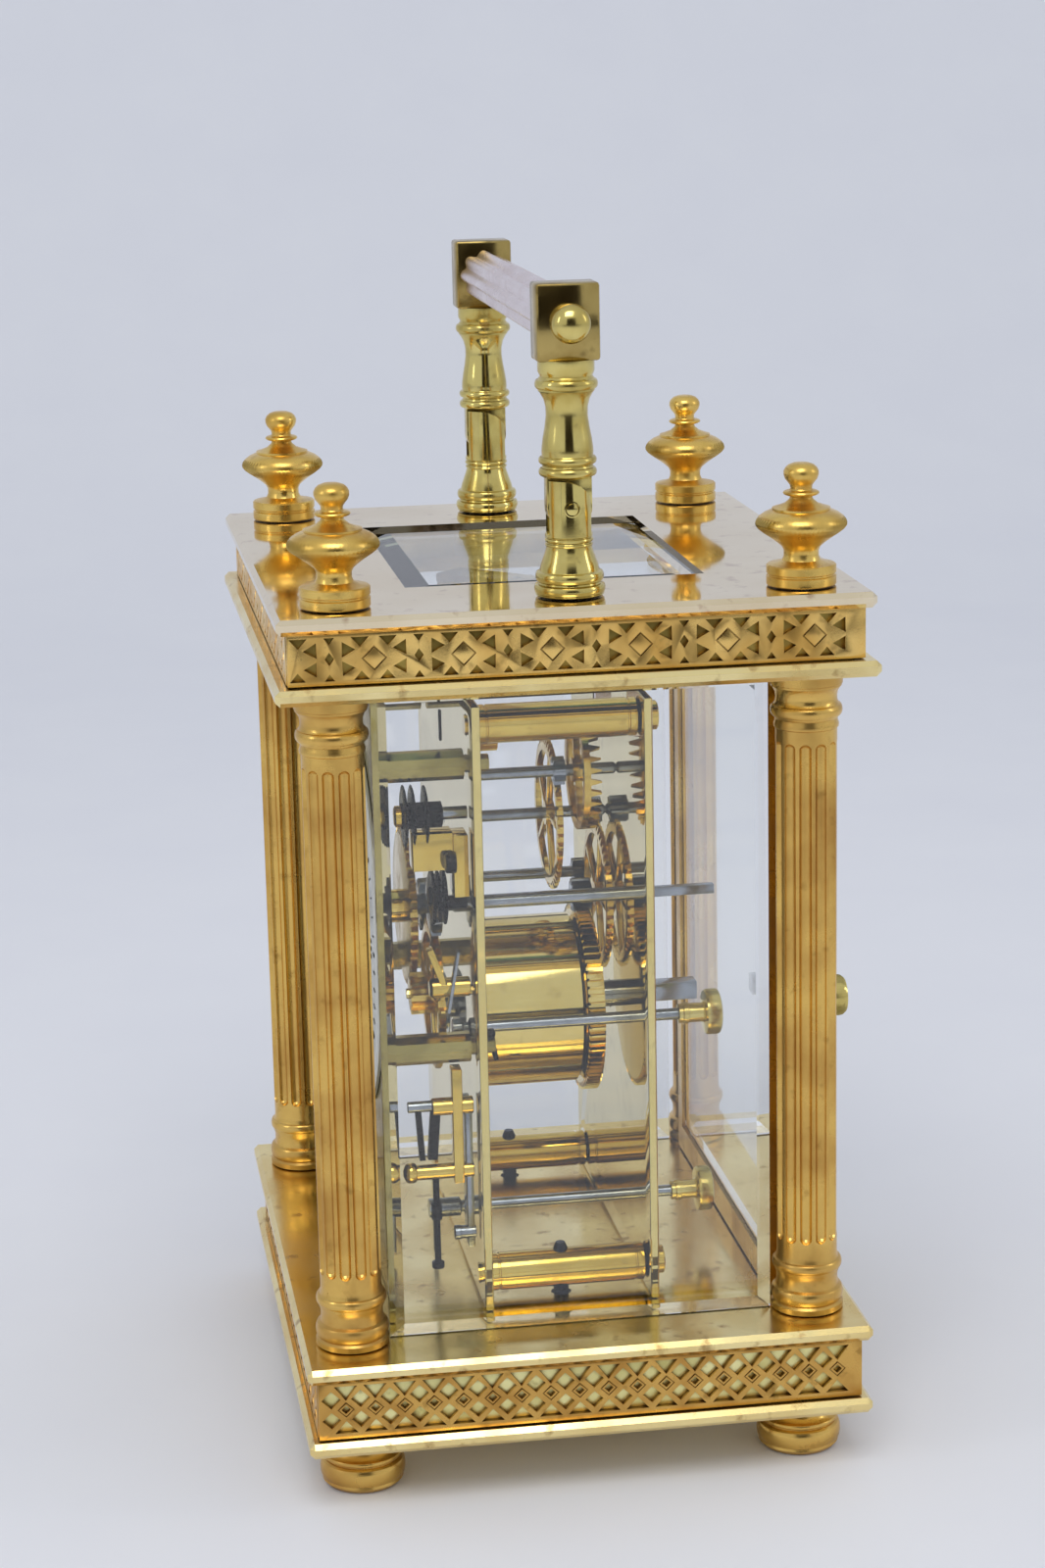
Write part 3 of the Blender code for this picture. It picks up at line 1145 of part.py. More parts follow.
def build_motion_work():
    """Cannon pinion, minute wheel, hour wheel and the setting arbor, in front of the front plate."""
    back = SETTING_LAYER - MOTION_THICK / 2
    front = SETTING_LAYER + MOTION_THICK / 2
    pipe = rod_mesh("cannon", CANNON_RADIUS, FRONT_PLATE_FACE + RUNNING_GAP, CANNON_END, 12)
    cannon = add_arbor("cannon_pinion", CENTRE, pipe, STEEL,
                       pinion_tool("cannon_leaves", CANNON_TEETH, CANNON_PITCH, back - RUNNING_GAP,
                                   front + RUNNING_GAP, 0))
    bored(cannon, CENTRE_POST_RADIUS + SEAT_GAP)
    rim = gear_outline(MINUTE_TEETH, MINUTE_PITCH, WHEEL_SHARES, MINUTE_PHASE)
    wheel = outline_mesh("minute_wheel", [rim, *spoke_holes(MINUTE_PITCH - 2 * RIM_WIDTH)], back, front)
    hour_front = HOUR_LAYER + MOTION_THICK / 2 + RUNNING_GAP
    minute = add_arbor("minute_wheel", MINUTE, wheel, POLISHED,
                       pinion_tool("minute_leaves", MINUTE_LEAVES, MINUTE_PINION_PITCH, SETTING_LAYER,
                                   hour_front, 0))
    bored(minute, STUD_RADIUS + SEAT_GAP)
    hour_pipe = rod_mesh("hour_pipe", HOUR_PIPE_RADIUS, HOUR_LAYER - MOTION_THICK / 2, HOUR_PIPE_END, 14)
    hour = add_arbor("hour_wheel", CENTRE, hour_pipe, POLISHED,
                     wheel_tool("hour_teeth", HOUR_TEETH, HOUR_PITCH, HOUR_LAYER, MOTION_THICK, HOUR_PHASE,
                                crossed=False))
    bored(hour, CANNON_RADIUS + RUNNING_GAP)


def build_back_arbors():
    """The setting arbor with its square, and the two arbors with knurled knobs."""
    back = SETTING_LAYER - MOTION_THICK / 2 - RUNNING_GAP
    front = SETTING_LAYER + MOTION_THICK / 2 + RUNNING_GAP
    rod = rod_mesh("setting", SETTING_ARBOR_RADIUS, BACK_PLATE_FACE, front, 10)
    add_arbor("setting_arbor", SETTING, rod, STEEL,
              pinion_tool("setting_leaves", SETTING_TEETH, SETTING_PITCH, back, front, SETTING_PHASE),
              square_rod("setting_square", SETTING_SQUARE, SETTING_ARBOR_END, BACK_PLATE_FACE + RUNNING_GAP))
    add_arbor("alarm_arbor", ALARM, knob_rod(ALARM_ARBOR_FRONT), STEEL)
    lever_back = STOP_ARBOR_FRONT - MOTION_THICK
    side = STOP_LEVER_WIDTH / 2
    blade = [(-side, side), (-side / 2, -STOP_LEVER_LENGTH), (side / 2, -STOP_LEVER_LENGTH), (side, side)]
    lever = outline_mesh("stop_lever", [blade], lever_back, lever_back + MOTION_THICK / 2)
    add_arbor("stop_arbor", STOP, knob_rod(STOP_ARBOR_FRONT), STEEL, add_tool("stop_lever", lever))


def knob_rod(front):
    """An arbor with a collar inside the front plate's face and a knob at its back end."""
    knob_front = KNOB_ARBOR_END + KNOB_WHEEL_THICK
    collar_front = knob_front + KNOB_COLLAR_LENGTH
    return turned_mesh("knob_arbor", [
        (KNOB_COLLAR_RADIUS, front), (KNOB_COLLAR_RADIUS, FRONT_PLATE_FACE + RUNNING_GAP),
        (KNOB_ARBOR_RADIUS, FRONT_PLATE_FACE + RUNNING_GAP), (KNOB_ARBOR_RADIUS, collar_front),
        (KNOB_COLLAR_RADIUS, collar_front), (KNOB_COLLAR_RADIUS, knob_front),
        (ALARM_KNOB_RADIUS, knob_front), (ALARM_KNOB_RADIUS, KNOB_ARBOR_END)], 12)


def build_dial():
    """Dial plate with its four feet, enamel dial and two blued hands."""
    bottom = BASE_TOP + MOVEMENT_FOOT_GAP
    face = DIAL_PLATE_BACK + DIAL_PLATE_THICK
    size = (DIAL_PLATE_WIDTH, DIAL_PLATE_TOP - bottom, DIAL_PLATE_THICK)
    middle = (0, (DIAL_PLATE_TOP + bottom) / 2, DIAL_PLATE_BACK + DIAL_PLATE_THICK / 2)
    blank = add_tool("dial_plate_blank", box_mesh("dial_plate", size, middle))
    shoulder = FRONT_PLATE_FACE + SEAT_GAP
    profile = [(DIAL_FOOT_RADIUS, face - DIAL_PLATE_THICK / 2), (DIAL_FOOT_RADIUS, shoulder),
               (DIAL_FOOT_TENON_RADIUS, shoulder), (DIAL_FOOT_TENON_RADIUS, DIAL_FOOT_END)]
    foot = turned_mesh("dial_foot", profile)
    for number, axis in enumerate(dial_foot_axes()):
        join(blank, add_tool(f"dial_foot_{number}", foot, location=(*axis, 0)))
    plate = add_part("dial_plate", settled_mesh(blank), POLISHED, **face_place((0, 0)))
    cut(plate, add_tool("dial_plate_hole", hole_mesh("hole", DIAL_HOLE_RADIUS, 0, CANNON_END, 14),
                        **face_place(CENTRE)))
    loops = [circle_points(DIAL_RADIUS, 40), circle_points(DIAL_HOLE_RADIUS, 14)]
    start = face + SEAT_GAP
    add_part("dial", outline_mesh("dial", loops, start, start + DIAL_THICK), ENAMEL, **face_place(CENTRE))
    add_hand("hour_hand", HOUR_HAND_LENGTH, HOUR_PIPE_RADIUS, HOUR_HAND_FORWARD, HAND_WIDTH)
    add_hand("minute_hand", MINUTE_HAND_LENGTH, CANNON_RADIUS, MINUTE_HAND_FORWARD, HAND_WIDTH * 0.8)


def add_hand(name, length, pipe_radius, forward, width):
    """A blued hand pressed on its pipe: a ring, a blade that swells, and a point."""
    ring = pipe_radius + width * 0.6
    lean = math.asin(width / 4 / ring)
    rim = [polar(ring, math.pi / 2 + lean + (2 * math.pi - 2 * lean) * i / 14) for i in range(15)]
    blade = [(width / 4, length * 0.55), (width / 2, length * 0.72), (0, length),
             (-width / 2, length * 0.72), (-width / 4, length * 0.55)]
    hole = circle_points(pipe_radius + HAND_FIT, 12)
    mesh = outline_mesh(name, [rim + blade, hole], forward - HAND_THICK / 2, forward + HAND_THICK / 2)
    add_part(name, mesh, BLUED, **face_place(CENTRE))


def escapement_axes():
    """Escape wheel, lever and balance, in a line across the platform."""
    pitch_line = CONTRATE_TOOTH_HEIGHT * CONTRATE_PITCH_SHARE - CONTRATE_WHEEL_FORWARD + WHEEL_THICK / 2
    escape = (CONTRATE[0], pitch_line + ESCAPE_PINION_PITCH)
    line = math.radians(180) + ESCAPEMENT_TURN
    return escape, moved(escape, ESCAPE_TO_LEVER, line), moved(escape, ESCAPE_TO_BALANCE, line), line


def build_escapement():
    """Platform on the movement plates, with the escape wheel, lever, balance and cock."""
    escape, lever, balance, line = escapement_axes()
    floor = MOVEMENT_TOP + SEAT_GAP
    top = floor + PLATFORM_THICK
    build_platform(escape, lever, balance, floor)
    build_escape_wheel(escape, top)
    build_lever(lever, line, top)
    build_balance(balance, line, top)


def build_platform(escape, lever, balance, floor):
    """A plate on the movement, with a bracket below it for the foot of the escape wheel's arbor."""
    middle = -(FRONT_PLATE_FACE + BACK_PLATE_FACE) / 2
    size = (PLATFORM_WIDTH, FRONT_PLATE_FACE - BACK_PLATE_FACE, PLATFORM_THICK)
    level = floor + PLATFORM_THICK / 2
    platform = add_part("platform", box_mesh("platform", size), SILVERED, location=(0, middle, level))
    post_size = (BRACKET_THICK, BRACKET_WIDTH, floor - BRACKET_BOTTOM + PLATFORM_THICK / 2)
    post_place = (escape[0] + BRACKET_REACH, escape[1] + BRACKET_SHIFT, BRACKET_BOTTOM + post_size[2] / 2)
    post = add_tool("bracket_post", box_mesh("post", post_size), location=post_place)
    arm_size = (BRACKET_REACH + BRACKET_WIDTH / 2, BRACKET_WIDTH - 2 * SEAT_GAP, BRACKET_THICK)
    arm_place = (escape[0] + BRACKET_REACH - arm_size[0] / 2, post_place[1], BRACKET_BOTTOM + BRACKET_THICK)
    join(post, add_tool("bracket_arm", box_mesh("arm", arm_size), location=arm_place))
    join(platform, post)
    holes = (("escape", escape, ESCAPE_ARBOR_RADIUS, floor - BRACKET_BOTTOM + OVERRUN),
             ("lever", lever, ESCAPE_ARBOR_RADIUS, OVERRUN),
             ("balance", balance, BALANCE_STAFF_RADIUS, OVERRUN))
    for name, axis, radius, reach in holes:
        hole = hole_mesh("hole", radius + SEAT_GAP, -reach, PLATFORM_THICK + OVERRUN)
        cut(platform, add_tool(f"platform_hole_{name}", hole, location=(*axis, floor)))


def build_escape_wheel(axis, top):
    """The last wheel of the train: a pinion under the platform and sloping teeth above it."""
    low = BRACKET_BOTTOM + BRACKET_THICK / 2 - top
    staff = rod_mesh("escape_staff", ESCAPE_ARBOR_RADIUS, low, ESCAPE_LIFT + 2 * ESCAPE_THICK, PIVOT_STEPS)
    rim = saw_outline(ESCAPE_TEETH, ESCAPE_RADIUS, ESCAPE_DEPTH_SHARE)
    wheel = outline_mesh("escape_teeth", [rim], ESCAPE_LIFT, ESCAPE_LIFT + ESCAPE_THICK)
    middle = CONTRATE[1] + CONTRATE_PITCH - top
    # The leaves stand either side of the middle tooth, which points straight back at rest.
    phase = math.pi / ESCAPE_LEAVES - math.pi / 2
    blank = add_tool("escape_staff", staff)
    join(blank, add_tool("escape_teeth", wheel),
         pinion_tool("escape_pinion", ESCAPE_LEAVES, ESCAPE_PINION_PITCH, middle - CONTRATE_TOOTH_FACE,
                     middle + CONTRATE_TOOTH_FACE, phase))
    add_part("escape_wheel", settled_mesh(blank), POLISHED, location=(*axis, top))


def build_lever(axis, line, top):
    """The anchor and its arm, drawn with the balance towards local +X and the escape wheel towards -X."""
    near = -PALLET_REACH
    side = PALLET_SPAN / 2
    half = LEVER_WIDTH / 2
    outline = [(near - PALLET_WIDTH, -side - PALLET_WIDTH), (near, -side - PALLET_WIDTH), (half, -half),
               (LEVER_LENGTH, -half / 2), (LEVER_LENGTH, half / 2), (half, half),
               (near, side + PALLET_WIDTH), (near - PALLET_WIDTH, side + PALLET_WIDTH), (near, side),
               (-half, 0), (near, -side)]
    staff = rod_mesh("lever_staff", ESCAPE_ARBOR_RADIUS, -PLATFORM_THICK, ESCAPE_TOP)
    blank = add_tool("lever_staff", staff)
    blade = outline_mesh("lever_blade", [outline], ESCAPE_LIFT, ESCAPE_LIFT + ESCAPE_THICK)
    join(blank, add_tool("lever_blade", blade))
    add_part("pallet_lever", settled_mesh(blank), STEEL, location=(*axis, top), rotation=(0, 0, line))


def build_balance(axis, line, top):
    """The balance and, over it, the cock that holds its upper pivot."""
    staff = rod_mesh("staff", BALANCE_STAFF_RADIUS, -PLATFORM_THICK, BALANCE_LIFT + BALANCE_THICK + COCK_GAP
                     + COCK_THICK / 2)
    inside = BALANCE_RADIUS - BALANCE_RIM
    lean = math.asin(BALANCE_RIM / 2 / inside)
    gaps = []
    for turn in (0, math.pi):
        gaps.append([polar(inside, turn + lean + (math.pi - 2 * lean) * part / 8) for part in range(9)])
    rim = outline_mesh("balance_rim", [circle_points(BALANCE_RADIUS, 28), *gaps], BALANCE_LIFT,
                       BALANCE_LIFT + BALANCE_THICK)
    blank = add_tool("balance_staff", staff)
    join(blank, add_tool("balance_rim", rim))
    add_part("balance", settled_mesh(blank), POLISHED, location=(*axis, top), rotation=(0, 0, line))
    arm_bottom = BALANCE_LIFT + BALANCE_THICK + COCK_GAP
    start = BALANCE_RADIUS + 2 * RUNNING_GAP
    half = COCK_WIDTH / 2
    arc = [polar(COCK_END_RADIUS, math.pi / 2 + math.pi * (part + 0.5) / 6) for part in range(6)]
    outline = [(start + COCK_FOOT, -half), (start + COCK_FOOT, half), (start, half), *arc, (start, -half)]
    cock = add_tool("cock_arm", outline_mesh("cock_arm", [outline], arm_bottom, arm_bottom + COCK_THICK))
    foot_top = arm_bottom + COCK_THICK / 2
    foot_size = (COCK_FOOT - 2 * SEAT_GAP, COCK_WIDTH - 2 * SEAT_GAP, foot_top - SEAT_GAP)
    foot = box_mesh("cock_foot", foot_size, (start + COCK_FOOT / 2, 0, (foot_top + SEAT_GAP) / 2))
    hole_top = arm_bottom + COCK_THICK + OVERRUN
    hole = hole_mesh("cock_hole", BALANCE_STAFF_RADIUS + SEAT_GAP, arm_bottom - OVERRUN, hole_top)
    join(cock, add_tool("cock_foot", foot))
    cut(cock, add_tool("cock_hole", hole))
    add_part("balance_cock", settled_mesh(cock), POLISHED, location=(*axis, top), rotation=(0, 0, line))


def build_all():
    build_feet()
    build_base()
    base_fret_bottom = FOOT_HEIGHT + PLATE_THICK
    build_fret("base_fret", BASE_WIDTH, BASE_DEPTH, base_fret_bottom, BASE_FRET_HEIGHT, lattice_holes)
    build_columns()
    build_entablature()
    top_fret_bottom = ENTABLATURE_BOTTOM + PLATE_THICK
    build_fret("top_fret", TOP_WIDTH, TOP_DEPTH, top_fret_bottom, TOP_FRET_HEIGHT, quatrefoil_holes)
    build_top()
    build_finials()
    build_handle_posts()
    build_handle()
    build_glasses()
    build_door()
    build_movement_plates()
    build_pillars()
    build_movement_screws()
    build_barrel()
    build_train()
    build_motion_work()
    build_back_arbors()
    build_dial()
    build_escapement()


build_all()
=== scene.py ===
from math import acos, asin, cos, hypot, pi, radians, sin, sqrt

import bpy
from mathutils import Matrix, Vector


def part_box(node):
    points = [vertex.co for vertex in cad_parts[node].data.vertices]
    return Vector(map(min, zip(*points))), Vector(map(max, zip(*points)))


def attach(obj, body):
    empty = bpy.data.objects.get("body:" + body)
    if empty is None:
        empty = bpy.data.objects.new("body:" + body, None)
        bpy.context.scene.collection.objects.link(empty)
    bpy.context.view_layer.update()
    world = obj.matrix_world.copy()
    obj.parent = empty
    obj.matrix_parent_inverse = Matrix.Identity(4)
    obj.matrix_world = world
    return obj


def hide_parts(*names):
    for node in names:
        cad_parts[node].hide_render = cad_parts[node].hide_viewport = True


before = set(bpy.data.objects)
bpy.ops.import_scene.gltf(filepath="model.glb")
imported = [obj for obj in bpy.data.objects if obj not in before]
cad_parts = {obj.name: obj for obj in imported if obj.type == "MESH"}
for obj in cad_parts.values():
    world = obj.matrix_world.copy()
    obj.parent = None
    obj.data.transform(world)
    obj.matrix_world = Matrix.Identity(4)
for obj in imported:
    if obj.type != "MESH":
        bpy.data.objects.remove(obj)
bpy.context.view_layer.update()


# FEET. Four turned brass buns, fire gilt, screwed up into the corners of the base.
# Lengths below are in millimetres, and MM makes them metres.
MM = 0.001


def linear(code):
    """An sRGB hex colour as the linear colour that a shader takes."""
    parts = [int(code[i:i + 2], 16) / 255 for i in (1, 3, 5)]
    return (*(p / 12.92 if p <= 0.04045 else ((p + 0.055) / 1.055) ** 2.4 for p in parts), 1)


def add(tree, kind, inputs=None, **settings):
    """One node of a material, with its settings, and a value or another node's output for each input."""
    node = tree.nodes.new(kind)
    for name, value in settings.items():
        setattr(node, name, value)
    for socket, value in (inputs or {}).items():
        if isinstance(value, bpy.types.NodeSocket):
            tree.links.new(value, node.inputs[socket])
        else:
            node.inputs[socket].default_value = value
    return node


def metal(name, clean, toned, stain, shine, cloud=9, relief=0.004, painted_shade=0.0, stained=0.5, lines=(1, 1, 1)):
    """A metal skin. clean and toned are the colours between which it clouds, every so many millimetres.
    stain is the colour of its spots and, as painted shade, of the hollows that ambient occlusion finds. shine is
    its least and most roughness, relief its grain in millimetres, and lines squeezes the grain into turning or
    graining lines."""
    look = bpy.data.materials.new(name)
    look.use_nodes = True
    tree = look.node_tree
    skin = tree.nodes["Principled BSDF"]
    place = add(tree, "ShaderNodeTexCoord").outputs["Object"]
    clouds = add(tree, "ShaderNodeTexNoise", {"Vector": place, "Scale": 1 / (cloud * MM), "Detail": 5.0})
    spread = add(tree, "ShaderNodeMapRange", {0: clouds.outputs[0], 1: 0.38, 2: 0.66})
    tone = add(tree, "ShaderNodeMix", {0: spread.outputs[0], 6: linear(clean), 7: linear(toned)},
               data_type="RGBA")
    specks = add(tree, "ShaderNodeTexNoise", {"Vector": place, "Scale": 1 / (2.6 * MM), "Detail": 6.0})
    mask = add(tree, "ShaderNodeMapRange", {0: specks.outputs[0], 1: 0.60, 2: 0.74, 4: stained})
    colour = add(tree, "ShaderNodeMix", {0: mask.outputs[0], 6: tone.outputs[2], 7: linear(stain)},
                 data_type="RGBA").outputs[2]
    # Painted shade: the hollows that ambient occlusion finds are darkened towards the stain colour, by the given
    # weight.
    if painted_shade:
        hollow = add(tree, "ShaderNodeAmbientOcclusion", {"Distance": 0.8 * MM}, samples=6)
        painted_shade_mask = add(tree, "ShaderNodeMapRange", {0: hollow.outputs["AO"], 1: 0.2, 2: 0.75, 3: painted_shade, 4: 0.0})
        colour = add(tree, "ShaderNodeMix", {0: painted_shade_mask.outputs[0], 6: colour, 7: linear(stain)},
                     data_type="RGBA").outputs[2]
    tree.links.new(colour, skin.inputs["Base Color"])
    skin.inputs["Metallic"].default_value = 1.0
    drawn = add(tree, "ShaderNodeMapping", {"Vector": place, "Scale": lines})
    grain = add(tree, "ShaderNodeTexNoise", {"Vector": drawn.outputs[0], "Scale": 1 / (0.5 * MM), "Detail": 3.0})
    dull = add(tree, "ShaderNodeMath", {0: spread.outputs[0], 1: mask.outputs[0]}, operation="ADD")
    rough = add(tree, "ShaderNodeMapRange", {0: dull.outputs[0], 3: shine[0], 4: shine[1]})
    tree.links.new(rough.outputs[0], skin.inputs["Roughness"])
    bump = add(tree, "ShaderNodeBump", {"Height": grain.outputs[0], "Distance": relief * MM, "Strength": 1.0})
    tree.links.new(bump.outputs[0], skin.inputs["Normal"])
    return look


def begin():
    """Nothing is selected, so that the next operator acts on its own piece."""
    bpy.ops.object.select_all(action="DESELECT")


def pick(piece):
    begin()
    piece.select_set(True)
    bpy.context.view_layer.objects.active = piece


def turned(name, rings, facets=64, crease=32):
    """A piece turned in the lathe along Z, from its (radius, height) rings."""
    begin()
    bpy.ops.mesh.primitive_circle_add(vertices=facets, radius=rings[0][0] * MM, fill_type="NGON")
    piece = bpy.context.object
    piece.name = name
    bpy.ops.object.mode_set(mode="EDIT")
    bpy.ops.mesh.select_all(action="SELECT")
    bpy.ops.transform.translate(value=(0, 0, rings[0][1] * MM))
    for (radius, height), (wider, higher) in zip(rings, rings[1:]):
        bpy.ops.mesh.extrude_region_move(TRANSFORM_OT_translate={"value": (0, 0, (higher - height) * MM)})
        share = wider / radius
        bpy.ops.transform.resize(value=(share, share, 1), center_override=(0, 0, 0))
    bpy.ops.mesh.select_all(action="SELECT")
    bpy.ops.mesh.normals_make_consistent(inside=False)
    bpy.ops.object.mode_set(mode="OBJECT")
    bpy.ops.object.shade_smooth_by_angle(angle=radians(crease))
    return piece


def bead(radius, low, high, swell, steps=8):
    """The rings of a half-round moulding that stands out of a radius by its swell. Below 0 it is a hollow."""
    middle, half = (low + high) / 2, (high - low) / 2
    return [(radius + swell * sin(pi * i / steps), middle - half * cos(pi * i / steps)) for i in range(steps + 1)]


def settle(piece, at=(0, 0, 0), turn=(0, 0, 0)):
    """Turns and moves a piece, then puts its place in its mesh, as a CAD node's is."""
    pick(piece)
    piece.rotation_euler = turn
    piece.location = [length * MM for length in at]
    bpy.ops.object.transform_apply(location=True, rotation=True, scale=True)
    return piece


def twin(piece, name, at=(0, 0, 0), turn=0):
    """A copy of a piece with its own mesh, turned about Z and then moved."""
    other = piece.copy()
    other.data = piece.data.copy()
    other.name = name
    bpy.context.scene.collection.objects.link(other)
    return settle(other, at, (0, 0, turn))


def dress(piece, look, body, *nodes, slot=None):
    """Gives a finished piece its skin, its body and the CAD nodes that it stands for."""
    piece.data.materials.clear()
    piece.data.materials.append(look)
    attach(piece, body)
    if nodes:
        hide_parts(*nodes)
    return piece


# Gilt brass is matt gold laid on turned brass, so it is warm and satin, browner where the gold has worn, and
# darkened in its hollows by painted shade.
gilt = metal("gilt_brass", "#e2ba66", "#c59850", "#8a6029", (0.24, 0.38), cloud=11, relief=0.012, painted_shade=0.3,
             stained=0.4, lines=(0.35, 0.35, 3.0))

foot_rings = [(4.6, 0), (5.6, 0.25), (6.05, 0.8), *bead(5.95, 1.2, 3.9, 0.42), (5.8, 4.05), (5.65, 4.1),
              (5.65, 4.2), *bead(5.75, 4.3, 5.0, 0.22, 6), (5.5, 5.1), (5.1, 5.4), (4.85, 6.0), (4.8, 6.9),
              (4.95, 7.6), (5.2, 8.0), (5.3, 8.2), (5.3, 8.9)]
foot = turned("foot", foot_rings)
for name, x, y in (("front_left", -1, -1), ("back_left", -1, 1), ("front_right", 1, -1), ("back_right", 1, 1)):
    low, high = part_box(f"foot_{name}")
    middle = (low + high) / 2 / MM
    dress(twin(foot, f"turned_foot_{name}", (middle.x, middle.y, low.z / MM)), gilt, "case", f"foot_{name}",
          slot="gilt_brass")
bpy.data.objects.remove(foot)


# BASE. A rolled brass tray and top plate with a bright rounded edge, once polished, now satin and spotted
# brown where the lacquer has gone.
satin = metal("satin_brass", "#fae6a6", "#ecd089", "#8d5f2c", (0.15, 0.28), cloud=12, relief=0.0015,
              stained=0.6)


def reskin(node, look):
    """Gives a CAD node that keeps its own shape a better skin."""
    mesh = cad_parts[node].data
    mesh.materials.clear()
    mesh.materials.append(look)


reskin("base_tray", satin)
reskin("base_top_plate", satin)


# BASE FRET. A cast brass lattice in four strips round the tray, gilt and matt, its crossing bars filed
# flat. Diamonds stand in two rows, with small ones between them and triangles at both edges.
# The fret's hollows are darkened by painted shade.
fret_brass = metal("fret_brass", "#d9ad5e", "#c0914a", "#5c3c18", (0.26, 0.40), cloud=6, relief=0.010,
                   painted_shade=0.8, stained=0.5)
# The base fret's backing is painted light: pale, to stand in for the light thrown back into the fret's holes.
# Painted shade also darkens its hollows.
backing = metal("painted_light_backing", "#f6eeac", "#ddd288", "#6a5424", (0.30, 0.44), cloud=7, relief=0.004,
                painted_shade=0.85)


def punch(corners, x, y, width, height, turn=0.0):
    """A cutter with so many corners, standing on the XY plane of a strip. At no turn a corner points up."""
    begin()
    bpy.ops.mesh.primitive_cylinder_add(vertices=corners, radius=0.5, depth=6 * MM, location=(0, 0, 0))
    tool = bpy.context.object
    tool.scale = (width * MM, height * MM, 1)
    bpy.ops.object.transform_apply(scale=True, location=False, rotation=False)
    return settle(tool, (x, y, 0), (0, 0, turn))


def joined(pieces, name):
    begin()
    for piece in pieces:
        piece.select_set(True)
    bpy.context.view_layer.objects.active = pieces[0]
    bpy.ops.object.join()
    pieces[0].name = name
    return pieces[0]


def carve(piece, tool, how="DIFFERENCE"):
    """Cuts the tool out of the piece, and removes the tool."""
    pick(piece)
    change = piece.modifiers.new("carve", "BOOLEAN")
    change.operation = how
    change.solver = "EXACT"
    change.use_self = True
    change.object = tool
    bpy.ops.object.modifier_apply(modifier=change.name)
    bpy.data.objects.remove(tool)
    return piece


def eased(piece, width, segments=2, angle=35):
    """Files the piece's sharp edges round."""
    pick(piece)
    change = piece.modifiers.new("eased", "BEVEL")
    change.width = width * MM
    change.segments = segments
    change.limit_method = "ANGLE"
    change.angle_limit = radians(angle)
    change.use_clamp_overlap = True
    bpy.ops.object.modifier_apply(modifier=change.name)
    bpy.ops.object.shade_smooth_by_angle(angle=radians(35))
    return piece


def block(name, size, at=(0, 0, 0)):
    """A plain bar or plate of metal, before it is shaped."""
    begin()
    bpy.ops.mesh.primitive_cube_add(size=1)
    piece = bpy.context.object
    piece.name = name
    piece.scale = [length * MM for length in size]
    return settle(piece, at)


def ringed(x, y, width, height, groove=0.22, depth=0.22):
    """A cutter for a diamond groove, struck only a little way into the face of a strip."""
    outer = punch(4, x, y, width + 2 * groove, height + 2 * groove)
    carve(outer, punch(4, x, y, width, height))
    return settle(outer, (0, 0, 3.0 + 0.375 - depth))


def lattice(length, first, pitch=4.32):
    """Cutters for the base fret, from its first diamond on."""
    half, tools = length / 2, []
    for i in range(int(length / pitch) + 2):
        x = first + i * pitch
        if abs(x) < half - 1.6:
            tools.append(punch(4, x, 1.68, 2.85, 2.75))
            tools.append(punch(4, x, -1.52, 2.75, 2.55))
        x += pitch / 2
        if abs(x) < half - 2.2:
            tools.append(punch(4, x, 0.08, 1.4, 1.3))
            tools.append(punch(3, x, 3.0, 3.9, 3.0, pi))
            tools.append(punch(3, x, -2.95, 3.9, 2.5))
            tools.append(ringed(x, 0.08, 2.1, 2.0))
    return tools


def fret(name, node, patterns, height, behind, thick=1.2, pierced=0.75):
    """Four pierced strips round the case, where the CAD fret stands, and a thin sheet behind each."""
    low, high = (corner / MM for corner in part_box(node))
    middle = (low + high) / 2
    sides, sheets = [], []
    for number, (across, out, angle) in enumerate((
            (high.y - low.y - 0.2, high.x, pi / 2), (high.y - low.y - 0.2, -low.x, -pi / 2),
            (high.x - low.x - 2 * thick - 0.2, -low.y, 0), (high.x - low.x - 2 * thick - 0.2, high.y, pi))):
        strip = block(f"{name}_{number}", (across, height, pierced))
        carve(strip, joined(patterns(across, number), "punches"))
        eased(strip, 0.14)
        sheet = block("sheet", (across - 0.2, height - 0.1, thick - pierced))
        for piece, deep in ((strip, pierced / 2), (sheet, (thick + pierced) / 2)):
            settle(piece, turn=(pi / 2, 0, 0))
            settle(piece, turn=(0, 0, angle))
            outward = Vector((sin(angle), -cos(angle), 0)) * (out - deep)
            settle(piece, (outward.x, outward.y, middle.z))
        sides.append(strip)
        sheets.append(sheet)
    dress(eased(joined(sheets, f"{name}_backing"), 0.05), behind, "case", slot="fret_brass")
    return joined(sides, name)


def lattice_side(length, number):
    return lattice(length, -38.74 if number < 2 else -45.4)


base_fret = fret("lattice_fret", "base_fret", lattice_side, 8.9, backing)
dress(base_fret, fret_brass, "case", "base_fret", slot="fret_brass")


# COLUMNS. Each is turned from one bar, with a ringed base and capital, and twelve round-ended flutes
# milled up its shaft. Gilt like the feet.
column_rings = [(5.2, 0), (5.4, 0.15), (5.4, 0.95), (5.25, 1.1), (5.1, 1.25), *bead(5.0, 1.35, 3.5, 0.4),
                (4.85, 3.6), (4.7, 3.7), (4.6, 4.3), (4.58, 5.0), (4.65, 5.7), (4.8, 6.0), (4.8, 6.3),
                *bead(4.85, 6.4, 7.9, 0.36), (4.7, 8.0), (4.6, 8.3), (4.5, 8.8), (4.5, 89.3), (4.7, 89.45),
                (4.75, 89.9), (4.6, 90.3), (4.55, 90.7), (4.75, 90.95), *bead(4.8, 91.1, 92.8, 0.45),
                (4.65, 93.0), (4.5, 93.4), (4.48, 94.0), (4.6, 94.7), (4.9, 95.2), (5.15, 95.5), (5.15, 95.8),
                (5.3, 95.9), (5.3, 98.0)]
column = turned("column", column_rings, facets=96)
flutes = []
